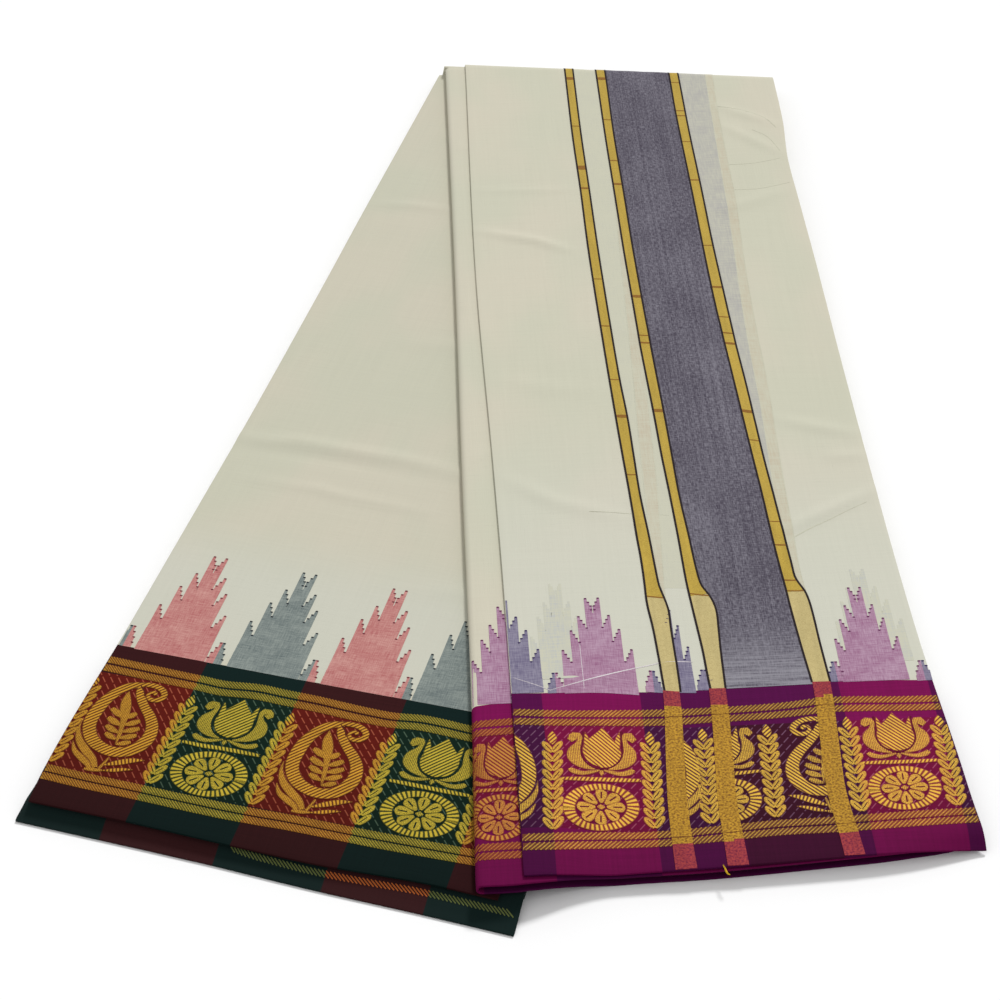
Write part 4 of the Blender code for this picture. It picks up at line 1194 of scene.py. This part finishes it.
def right_top_at(u, v, rise):
    """A place on the outermost sheet's face, over the fold too."""
    lift = creases_at(RIGHT_CREASES, u, v) + FACE_LIFT + rumple(u, v, 9.0)
    past = v - fold_v(u)
    if past > 0:
        fade = 1 - smooth_step(past / LIFT_FADES_OVER)
        return round_fold(u, FOLD_RADIUS + rise + lift * fade, past / FOLD_RADIUS)
    return right_point(u, v, RIGHT_TOP - corner_drop(u, v) + rise + lift)


RIGHT_MAGENTA = ((13.5, 57.0), (146.0, 186.0))
right_top_cotton = cotton("right_top_cotton", cool=((98, 108), (150, 320)))
right_border_cotton = border_cloth("magenta_purple_cotton", RIGHT_MAGENTA, (PURPLE, MAGENTA),
                                   (dye(62, 11, 54), dye(114, 9, 57)),
                                   (dye(116, 80, 104), dye(162, 80, 104)), (21.5, 80.5), -1,
                                   browned=((93.0, 133.0),))
making = Making()
across = right_across(TOP_LEFT_EDGE, TOP_RIGHT_EDGE, EDGE_REACH, EDGE_REACH)
grids = leg_grids(parts(76), across, lambda u: along(TOP_SELVEDGE, u) + EDGE_REACH,
                  lambda u: along(RIGHT_BORDER_TOP, u), lambda u: fold_v(u) + math.pi * FOLD_RADIUS,
                  (38, 200), lambda part, v, down: right_top_at(across(part, v), v, -SHEET * down))
sheet_of_cloth(making, *grids, reach=EDGE_REACH, finish=dyed_below(RIGHT_BORDER_TOP))
right_top = making.piece("right_leg_top_sheet_cloth", right_top_cotton, right_border_cotton)
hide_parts("right_leg_top_sheet")

# ---------------------------------------------------------------- right leg, zari of its borders
# The same motifs the other way round, woven in gold on purple and magenta blocks, on the top sheet
# and on the strip of the second fold beside it.
RIGHT_LOW_LINE = ((0, 13.9), (10, 13.9), (20, 15.1), (30, 16.5), (38, 17.5), (45, 17.9), (55, 17.9),
                  (65, 18.1), (85, 19.4), (106, 20.9), (131, 21.4), (166, 22.8), (193, 23.5))
RIGHT_HIGH_LINE = ((0, 85.5), (10, 84.4), (20, 83.5), (30, 82.9), (40, 83.3), (50, 84.3), (58, 85.2),
                   (65, 86.0), (80, 87.2), (100, 87.6), (121, 88.6), (138, 90.5), (151, 90.5), (171, 89.5),
                   (193, 89.1))
STRIP_LOW_LINE = ((-25, 10.6), (0, 11.0))
STRIP_HIGH_LINE = ((-25, 80.2), (-17, 80.4), (0, 81.1))
# Columns: place along the border half way up it, lean.
RIGHT_CHAINS = ((15.1, 0.057), (57.7, 0.051), (81.2, 0.04), (109.0, 0.053), (144.9, 0.04), (185.3, 0.03))
# Columns: place, lean, width, farthest left and right that shows.
RIGHT_PAISLEYS = ((-10.0, 0.05, 1.0, 0.45, 8.9), (60.4, 0.05, 1.0, 70.4, 79.1),
                  (131.7, 0.04, 1.0, 112.6, 134.2))
RIGHT_LOTUSES = ((35.9, 0.09, 0.95, 17.8, 55.3), (88.7, 0.06, 0.88, 91.0, 105.6),
                 (164.8, 0.05, 0.91, 147.7, 182.9))
RIGHT_ROPES_FROM, RIGHT_ROPES_TO, STRIP_ROPES_FROM, STRIP_ROPES_TO = 0.6, 193.4, -20.5, 0.6
RIGHT_ROPE_PITCH, RIGHT_ROPE_RIB = 2.0, 0.56
STRIP_LIMITS = (-21.0, 0.6)
STRIP_LOTUS, STRIP_CHAIN = (-7.2, 0.09, 0.80), (-21.8, 0.05)          # columns as above
right_zari = gold_finishes((("purple", dye(204, 164, 58), dye(88, 42, 38), dye(92, 46, 40)),
                            ("magenta", dye(208, 162, 58), dye(124, 44, 42), dye(128, 50, 46))))
right_threads = [fine_thread("purple_thread", dye(58, 14, 40)),
                 fine_thread("magenta_thread", dye(96, 16, 40)),
                 fine_thread("rope_ground_on_purple", dye(108, 58, 38)),
                 fine_thread("rope_ground_on_magenta", dye(130, 62, 42))]
# The strip's gold and gaps are darker and more orange than the top sheet's: painted shade on the strip.
SHADED_STRIP_GOLD = dye(182, 124, 50)
strip_zari_finishes = gold_finishes((("purple", SHADED_STRIP_GOLD, dye(84, 36, 34), dye(88, 40, 36)),
                                     ("magenta", SHADED_STRIP_GOLD, dye(120, 36, 38), dye(124, 40, 38))), "strip_")
strip_zari_finishes += right_threads

making = Making()
right_limits = (0.45, moved(TOP_RIGHT_EDGE, -0.5))
border = Border(making, right_top_at, RIGHT_LOW_LINE, RIGHT_HIGH_LINE, -1, RIGHT_MAGENTA, right_limits)
for height, tall in ROPES:
    border.rope(height, tall, RIGHT_ROPES_FROM, RIGHT_ROPES_TO, RIGHT_ROPE_PITCH, rib=RIGHT_ROPE_RIB)
for at, lean in RIGHT_CHAINS:
    border.chain(at, lean)
for at, lean, wide, *shown in RIGHT_PAISLEYS:
    border.paisley(at, lean, wide, shown)
for at, lean, wide, *shown in RIGHT_LOTUSES:
    border.lotus(at, lean, wide, shown)
right_border_zari = making.piece("right_border_zari", *right_zari, *right_threads, crisp=True)

# All that shows of the strip is one block of the second colour.
making = Making()
border = Border(making, strip_at, STRIP_LOW_LINE, STRIP_HIGH_LINE, -1, (NO_LIMITS,), STRIP_LIMITS)
for height, tall in ROPES:
    border.rope(height, tall, STRIP_ROPES_FROM, STRIP_ROPES_TO, RIGHT_ROPE_PITCH, rib=RIGHT_ROPE_RIB)
border.lotus(*STRIP_LOTUS)
border.chain(*STRIP_CHAIN)
strip_zari = making.piece("strip_border_zari", *strip_zari_finishes, crisp=True)

# ---------------------------------------------------------------- right leg, gold and grey end stripes
# The cloth's woven end runs up the right leg and over the fold: three gold lines and a broad grey
# band, edged with dark threads. Near the border the gold lines widen and turn pale, and over the
# border they show as bright gold crossings.
# Edges of each stripe. Rows: v, u.
GOLD_EDGES = (
    (((99, 68.4), (110, 68.0), (125, 67.5), (140, 66.8), (155, 65.6), (170, 65.7), (185, 65.6), (200, 65.1),
      (230, 64.6), (260, 63.8), (290, 63.1), (350, 62.0), (440, 60.9), (500, 61.1), (560, 60.8), (620, 61.4),
      (640, 61.6)),
     ((99, 75.4), (110, 75.5), (126, 75.3), (140, 75.1), (151, 75.2), (159, 74.0), (166, 72.5), (177, 71.8),
      (200, 70.9), (230, 69.5), (260, 69.2), (290, 68.9), (320, 67.8), (350, 67.2), (380, 66.8), (440, 66.2),
      (500, 66.1), (560, 65.9), (620, 66.4), (640, 66.6))),
    (((101, 89.1), (110, 88.7), (127, 88.3), (140, 87.5), (155, 86.5), (170, 85.6), (185, 85.2), (200, 84.9),
      (230, 84.0), (260, 83.0), (290, 82.5), (350, 81.1), (380, 80.9), (440, 80.4), (500, 80.3), (560, 80.2),
      (620, 80.6), (640, 80.7)),
     ((101, 95.6), (128, 96.5), (140, 97.1), (154, 97.5), (162, 95.7), (169, 92.5), (180, 91.2), (200, 90.2),
      (230, 88.6), (260, 88.1), (290, 87.7), (350, 86.6), (440, 85.6), (500, 85.6), (560, 85.4), (620, 86.2),
      (640, 86.3))),
    (((101, 134.7), (128, 133.1), (153, 132.0), (168, 131.6), (183, 131.0), (200, 130.5), (233, 129.8),
      (260, 128.8), (290, 127.7), (350, 125.7), (380, 124.9), (410, 124.6), (440, 124.6), (500, 124.8),
      (560, 124.7), (590, 124.8), (620, 125.4), (640, 125.6)),
     ((101, 142.7), (128, 141.9), (155, 141.4), (165, 140.1), (173, 137.3), (183, 136.9), (200, 136.4),
      (233, 135.4), (260, 134.3), (290, 133.5), (320, 132.7), (350, 131.6), (380, 131.0), (440, 130.3),
      (500, 130.5), (560, 130.4), (620, 131.0), (640, 131.2))))
STRIPE_RISE, GOLD_LINE_RISE, LINE_MARK_RISE, EDGE_THREAD_RISE = 0.16, 0.20, 0.26, 0.30
EDGE_THREAD = 0.48        # half width of the dark threads
GREY_FROM = 103.4         # how far down the grey band comes
PALE_TOPS = (159.2, 162.6, 164.6)     # below this a gold line is pale
PALE_TOP_MARK = 0.4
# Tarnished marks across each gold line, where it was once folded. Columns: v, half width.
LINE_MARKS = (
    ((628.5, 1.6), (572.0, 0.4), (525.5, 2.2), (503.5, 0.8), (412.5, 0.35), (368.7, 0.45), (322.0, 0.35),
     (291.6, 1.2), (245.5, 0.4)),
    ((627.0, 1.6), (578.0, 0.4), (532.0, 0.5), (506.7, 1.0), (395.0, 1.2), (359.0, 0.4), (352.7, 0.7),
     (295.0, 1.3)),
    ((619.0, 0.4), (585.4, 0.5), (579.6, 0.5), (550.0, 0.35), (508.0, 0.6), (441.0, 0.35), (401.0, 0.9),
     (373.8, 0.4), (359.7, 0.5), (351.0, 0.9), (296.0, 1.1), (273.8, 0.35), (214.0, 0.3), (197.0, 0.5),
     (172.0, 0.5)))
# Gold bands that cross the border. Rows: u, v, half width.
RIGHT_CROSSINGS = (
    ((71.2, 101.7, 3.7), (70.8, 88.3, 3.8), (68.9, 62.8, 4.0), (67.2, 37.7, 4.1), (66.9, 14.6, 4.3),
     (67.0, 1.2, 4.5)),
    ((91.9, 103.4, 3.7), (91.5, 88.9, 3.8), (89.9, 62.8, 3.9), (88.2, 37.7, 4.0), (88.3, 14.6, 4.2),
     (88.4, 1.9, 4.4)),
    ((138.6, 104.8, 4.0), (138.1, 90.9, 4.0), (136.3, 64.8, 4.0), (135.0, 39.7, 4.0), (136.3, 16.6, 4.1),
     (136.9, 4.5, 4.3)))
CROSSING_RISE, CROSSING_LINE_RISE = 0.34, 0.44
CROSSING_LINE_HALF = 4.2  # half the length of the dark line across each band at a pair of ropes
PLAIN_BELOW, PLAIN_ABOVE = 4.4, 5.6   # past the ropes' lines by this much, a band crosses the plain bands


STRIPE_ROW = 5.0          # length of a stripe between two readings of its edges


def stripe(making, lie, left_edge, right_edge, low, high, rise, finish, fine=2.6, spread=0.0):
    """A flat stripe from low to high between two edges, each moved outward by spread."""
    rows = []
    for part in parts(max(2, round((high - low) / STRIPE_ROW))):
        v = mix(low, high, part)
        left, right = along(left_edge, v) - spread, along(right_edge, v) + spread
        rows.append(((left + right) / 2, v, (right - left) / 2))
    ribbon(making, lie, rows, rise, finish, dome=0.0, step=2.5, fine=fine)


GOLD_RIB = 0.75           # of the fine ribs across a gold stripe


def gold_stripe(name, gold, gap, metallic, mottled=False):
    """Woven gold thread, in fine ribs across the stripe, broken where it is mottled by the ground."""
    finish = Finish(name, 0.65, metallic=metallic)
    u, v = finish.place()
    rib = ((v * (2 * math.pi / GOLD_RIB)).maths("SINE") + 1) * 0.5
    broken = finish.speckle(u, v, 0.8, 0.5, 2.0, 31.0)
    wear_and_painted_light = finish.speckle(u, v, 3.0, 25.0, 3.0, 32.0)
    if mottled:
        shown = finish.step(rib * 0.2 + finish.speckle(u, v, 1.0, 0.9, 3.0, 33.0), 0.40, 0.74)
    else:
        shown = finish.step(rib * 0.5 + broken * 0.8, 0.28, 0.72)
    colour = finish.tint(finish.blend(shown, gap, gold), 0.8 + wear_and_painted_light * 0.4)
    bump = finish.node("Bump", {}, {"Strength": 0.4, "Distance": 0.08 * MM, "Height": shown})
    return finish.done(colour, bump)


def heather(name, dark, pale, low, high):
    """Grey cotton of dark and pale threads, which turns paler between low and high."""
    finish = Finish(name, 0.92)
    u, v = finish.place()
    threads = finish.speckle(u, v, 0.45, 3.0, 3.0, 41.0) * 0.5
    threads += finish.speckle(u, v, 3.0, 0.45, 3.0, 42.0) * 0.5
    cloudy = finish.speckle(u, v, 22.0, 40.0, 3.0, 43.0)
    streak = finish.speckle(u, v, 1.4, 120.0, 2.0, 44.0)
    shown = finish.step(threads + (cloudy - 0.5) * 0.16 + (streak - 0.5) * 0.22, 0.36, 0.70)
    foot = 1 - finish.step(v, low, high)
    foot *= finish.step(finish.speckle(u, v, 30.0, 1.0, 3.0, 45.0), 0.25, 0.65)
    colour = finish.blend(shown, dark, pale)
    colour = finish.blend(foot * 0.8, colour, dye(152, 150, 158))
    return finish.done(colour, finish.weave(u, v, 0.12))


fold_end = fold_v(100) + math.pi * FOLD_RADIUS - 0.4
making = Making()
BRIGHT_GOLD, PALE_GOLD, GREY, EDGING, MARK = range(5)         # the piece's finishes
stripe(making, right_top_at, GOLD_EDGES[1][1], GOLD_EDGES[2][0], GREY_FROM, fold_end, STRIPE_RISE, GREY)
for (left_edge, right_edge), pale_top, marks in zip(GOLD_EDGES, PALE_TOPS, LINE_MARKS):
    foot = along(RIGHT_BORDER_TOP, left_edge[0][1] + 3)
    stripe(making, right_top_at, left_edge, right_edge, foot, pale_top, GOLD_LINE_RISE, PALE_GOLD)
    stripe(making, right_top_at, left_edge, right_edge, pale_top, fold_end, GOLD_LINE_RISE, BRIGHT_GOLD)
    for edge in (left_edge, right_edge):
        stripe(making, right_top_at, edge, edge, foot, fold_end, EDGE_THREAD_RISE, EDGING, 0.6, EDGE_THREAD)
    for v, half in ((pale_top, PALE_TOP_MARK), *marks):
        u0, u1 = along(left_edge, v), along(right_edge, v)
        rows = ((u0, v + 0.4, half * 0.8), ((u0 + u1) / 2, v, half), (u1, v - 0.2, half * 0.9))
        ribbon(making, right_top_at, rows, LINE_MARK_RISE, MARK, dome=0.0)
end_stripes = making.piece("end_stripes",
                           gold_stripe("stripe_gold", dye(184, 158, 68), dye(140, 112, 44), 0.15),
                           gold_stripe("stripe_pale_gold", dye(194, 178, 124), dye(160, 142, 92), 0.05),
                           heather("stripe_grey", dye(72, 67, 79), dye(130, 127, 137), 104, 150),
                           fine_thread("stripe_edge_thread", dye(40, 32, 34)),
                           fine_thread("line_mark", dye(140, 98, 44)), crisp=True)


def crossing_finish(u, v):
    """Gives a crossing its second finish over the border's plain bands."""
    return int(not along(RIGHT_LOW_LINE, u) - PLAIN_BELOW < v < along(RIGHT_HIGH_LINE, u) + PLAIN_ABOVE)


making = Making()
for rows in RIGHT_CROSSINGS:
    ribbon(making, right_top_at, rows, CROSSING_RISE, crossing_finish, dome=0.1, step=1.6, fine=2.2)
    for line in (RIGHT_LOW_LINE, RIGHT_HIGH_LINE):
        middle = min(rows, key=lambda row: abs(row[1] - along(line, row[0])))[0]
        places = ((middle - CROSSING_LINE_HALF, 0.3), (middle, 0.34), (middle + CROSSING_LINE_HALF, 0.3))
        ribbon(making, right_top_at, [(u, along(line, u), half) for u, half in places], CROSSING_LINE_RISE, 2)
crossings = making.piece("gold_crossings",
                         gold_stripe("crossing_gold", dye(186, 142, 44), dye(112, 72, 28), 0.15, True),
                         gold_stripe("crossing_over_plain", dye(158, 60, 60), dye(104, 24, 54), 0.1, True),
                         fine_thread("crossing_line", dye(96, 42, 34)), crisp=True)

# ---------------------------------------------------------------- spires above the right borders
# The same stepped spires in mauve and violet, on the top sheet and on the strip.
# Columns: place, height and width against the left leg's, what shows of it, colour.
RIGHT_SPIRES = ((-2.3, 0.89, 1.0, 0.6, 40.0, 1), (40.2, 0.89, 0.97, 14.8, 59.8, 0),
                (70.4, 0.92, 0.71, 72.2, 84.0, 1), (163.3, 0.90, 0.88, 143.8, 182.8, 0))
RIGHT_SMALL_SPIRES = ((20.2, 1, 0), (63.7, 0, 1), (87.1, 1, 1), (146.2, 1, 0), (185.2, 0, 1))
RIGHT_SMALL_TALL, RIGHT_SMALL_HALF, RIGHT_SMALL_END = 0.92, 4, 188.2      # height, most that shows, far end
STRIP_SPIRE_BASE, STRIP_SPIRE_AT, STRIP_SPIRE_TALL, STRIP_SPIRE_LIMITS = 95.2, 0.0, 0.91, (-22.0, 0.6)
mauve = spire_thread("mauve_thread", dye(142, 88, 124), dye(184, 154, 174))
violet = spire_thread("violet_thread", dye(92, 84, 116), dye(150, 145, 162))
knots = (fine_thread("mauve_knots", dye(96, 38, 82)), fine_thread("violet_knots", dye(50, 36, 84)))
making = Making()
for at, tall, wide, *shown, colour in RIGHT_SPIRES:
    spire(making, right_top_at, along(RIGHT_BORDER_TOP, at), at, tall, wide, shown, colour)
for at, *halves in RIGHT_SMALL_SPIRES:
    small_spire(making, right_top_at, along(RIGHT_BORDER_TOP, at), at, halves,
                (at - RIGHT_SMALL_HALF, min(at + RIGHT_SMALL_HALF, RIGHT_SMALL_END)), RIGHT_SMALL_TALL)
right_spires = making.piece("right_spires", mauve, violet, *knots, crisp=True)
making = Making()
spire(making, strip_at, STRIP_SPIRE_BASE, STRIP_SPIRE_AT, STRIP_SPIRE_TALL, limits=STRIP_SPIRE_LIMITS)
strip_spire = making.piece("strip_spire", mauve, violet, *knots, crisp=True)

# ---------------------------------------------------------------- marks on the right leg's face
# The layer below shows faintly through the thin cotton: a pale band beside the third gold line and
# the tips of more spires. Thin white lines are painted highlights on creases, and fine dark lines
# are painted shade in creases.
GHOST_RISE, GHOST_LINE_RISE, COOL_BAND_RISE = 0.07, 0.09, 0.042
CREASE_LINE_RISE, CREASE_HIGHLIGHT_RISE = 0.11, 0.20
GHOST_LINE_HALF = 0.20
GHOST_SPIRES = ((23.9, 0.92, 0.80, 170.2), (166.6, 0.92, 0.93, 178.8))        # place, height, width, top
# Edges of two beige bands. Rows: v, u.
BEIGE_LEFT = ((161, 140.6), (170, 138.4), (180, 137.3), (201, 136.7), (235, 136.2), (255, 136.6),
              (296, 138.0), (354, 138.5), (394, 139.6), (439, 141.6), (486, 143.4), (535, 144.7),
              (627, 147.7), (644, 148.2))
BEIGE_RIGHT = ((161, 141.0), (179, 140.2), (207, 141.0), (232, 141.6), (261, 142.4), (289, 143.4),
               (317, 144.2), (351, 144.4), (379, 144.7), (423, 145.8), (486, 148.8), (532, 149.4),
               (582, 150.4), (627, 152.3), (644, 153.0))
MIDDLE_LEFT = ((158, 74.4), (173, 72.6), (201, 71.7), (226, 71.9), (279, 73.2), (322, 74.8), (352, 75.6),
               (438, 78.1), (500, 79.8))
MIDDLE_RIGHT = ((158, 74.7), (165, 74.8), (203, 76.6), (244, 78.7), (279, 79.6), (321, 80.8), (348, 80.9),
                (440, 80.1), (500, 80.0))
# Fine dark lines of painted shade in creases. Rows: u, v, half width.
CREASE_SHADE_LINES = (
    ((136.8, 198.4, 0.22), (140.9, 202.3, 0.28), (149.9, 208.3, 0.28), (159.4, 213.6, 0.22),
     (170.2, 220.3, 0.18), (179.8, 225.7, 0.10)),
    ((44.0, 219.0, 0.10), (54.9, 217.8, 0.14), (64.4, 216.4, 0.18)),
    ((71.0, 216.0, 0.18), (82.0, 215.2, 0.10)),
    ((150.5, 588.8, 0.12), (163.9, 584.4, 0.26), (176.1, 575.5, 0.30), (182.8, 563.5, 0.16)),
    ((168.1, 561.1, 0.12), (176.5, 552.6, 0.26), (181.5, 537.7, 0.14)),
    ((149.6, 523.3, 0.12), (165.0, 524.5, 0.24), (180.5, 530.0, 0.14)),
    ((149.1, 496.5, 0.12), (164.3, 497.6, 0.20), (182.7, 504.9, 0.12)))
# Thin white lines of painted highlight along the ridges of creases. Rows: u, v, half width.
CREASE_HIGHLIGHT_LINES = (
    ((17.1, 100.4, 0.14), (39.7, 107.4, 0.3), (66.7, 117.5, 0.22)),
    ((32.5, 100.8, 0.14), (32.6, 128.4, 0.16)),
    ((66.0, 117.7, 0.14), (74.2, 119.3, 0.26), (82.9, 119.9, 0.14)),
    ((1.8, 109.1, 0.14), (11.8, 104.0, 0.2), (17.8, 100.2, 0.14)))
SPIRE_HEIGHT = SPIRE_TIERS[-1][1] + len(SPIRE_SPIKE) * SPIRE_STEP - SPIRE_BASE
SPIRES, BEIGE, CREASE_HIGHLIGHT, BAND, THIN, COOL = range(6)             # the piece's finishes
# Bands that show through. Columns: left and right edges, lower and upper ends, rise, finish.
SHOWN_BANDS = ((GOLD_EDGES[0][1], GOLD_EDGES[1][0], 166, fold_end, COOL_BAND_RISE, COOL),
               (GOLD_EDGES[2][1], BEIGE_LEFT, 206, fold_end, GHOST_RISE, BAND),
               (BEIGE_LEFT, BEIGE_RIGHT, 161, fold_end, GHOST_RISE, BEIGE),
               (MIDDLE_LEFT, MIDDLE_RIGHT, 158, 500, GHOST_RISE, BEIGE))
# Fine dark edges of the beige ones. Columns: edge, lower and upper ends.
SHOWN_EDGES = ((BEIGE_LEFT, 215, fold_end), (BEIGE_RIGHT, 161, fold_end), (MIDDLE_LEFT, 200, 500),
               (MIDDLE_RIGHT, 158, 340))


def shown_through(name, colour, hidden=0.8):
    """Something dyed that shows faintly through undyed cotton, hidden by so much of it."""
    finish = Finish(name, 0.9)
    u, v = finish.place()
    threads = finish.speckle(u, v, 9.0, 0.8, 3.0, 51.0) + finish.speckle(u, v, 0.8, 9.0, 3.0, 52.0)
    cloudy = finish.speckle(u, v, 14.0, 18.0, 2.0, 53.0)
    cover = finish.step(threads * 0.65 + (cloudy - 0.5) * 0.4, 0.65 - hidden, 1.65 - hidden)
    return finish.done(finish.blend(cover, colour, CREAM), finish.weave(u, v, 0.10))


making = Making()
for at, tall, wide, top in GHOST_SPIRES:
    spire(making, right_top_at, top - SPIRE_HEIGHT * tall, at, tall, wide, colour=SPIRES, knots=False,
          rise=GHOST_RISE)
for band in SHOWN_BANDS:
    stripe(making, right_top_at, *band)
for edge, low, high in SHOWN_EDGES:
    stripe(making, right_top_at, edge, edge, low, high, GHOST_LINE_RISE, THIN, 0.6, GHOST_LINE_HALF)
for rows in CREASE_HIGHLIGHT_LINES:
    ribbon(making, right_top_at, rows, CREASE_HIGHLIGHT_RISE, CREASE_HIGHLIGHT)
for rows in CREASE_SHADE_LINES:
    ribbon(making, right_top_at, rows, CREASE_LINE_RISE, THIN, step=4.0)
face_marks = making.piece("face_marks", shown_through("shown_spires", dye(160, 168, 192)),
                          shown_through("shown_beige", dye(188, 173, 150), 0.65),
                          fine_thread("painted_crease_highlight", dye(216, 209, 211)),
                          shown_through("shown_band", dye(168, 166, 164), 0.45),
                          shown_through("crease_shade_and_band_edges", dye(160, 158, 142)),
                          shown_through("shown_cool", dye(186, 186, 174)), crisp=True)

# ---------------------------------------------------------------- loose gold thread
# One cut end of the gold thread hangs out of the right selvedge between the first two crossings.
# Rows: u, v, half width.
LOOSE_END = ((82.2, 2.4, 0.22), (82.7, 0.8, 0.34), (83.0, -0.8, 0.40), (83.5, -2.2, 0.34), (84.3, -2.9, 0.12))
LOOSE_RISE = 0.5
making = Making()
ribbon(making, right_top_at, LOOSE_END, LOOSE_RISE, dome=0.9, step=0.8)
loose_thread = making.piece("loose_gold_thread", fine_thread("loose_gold", dye(222, 180, 44)), crisp=True)
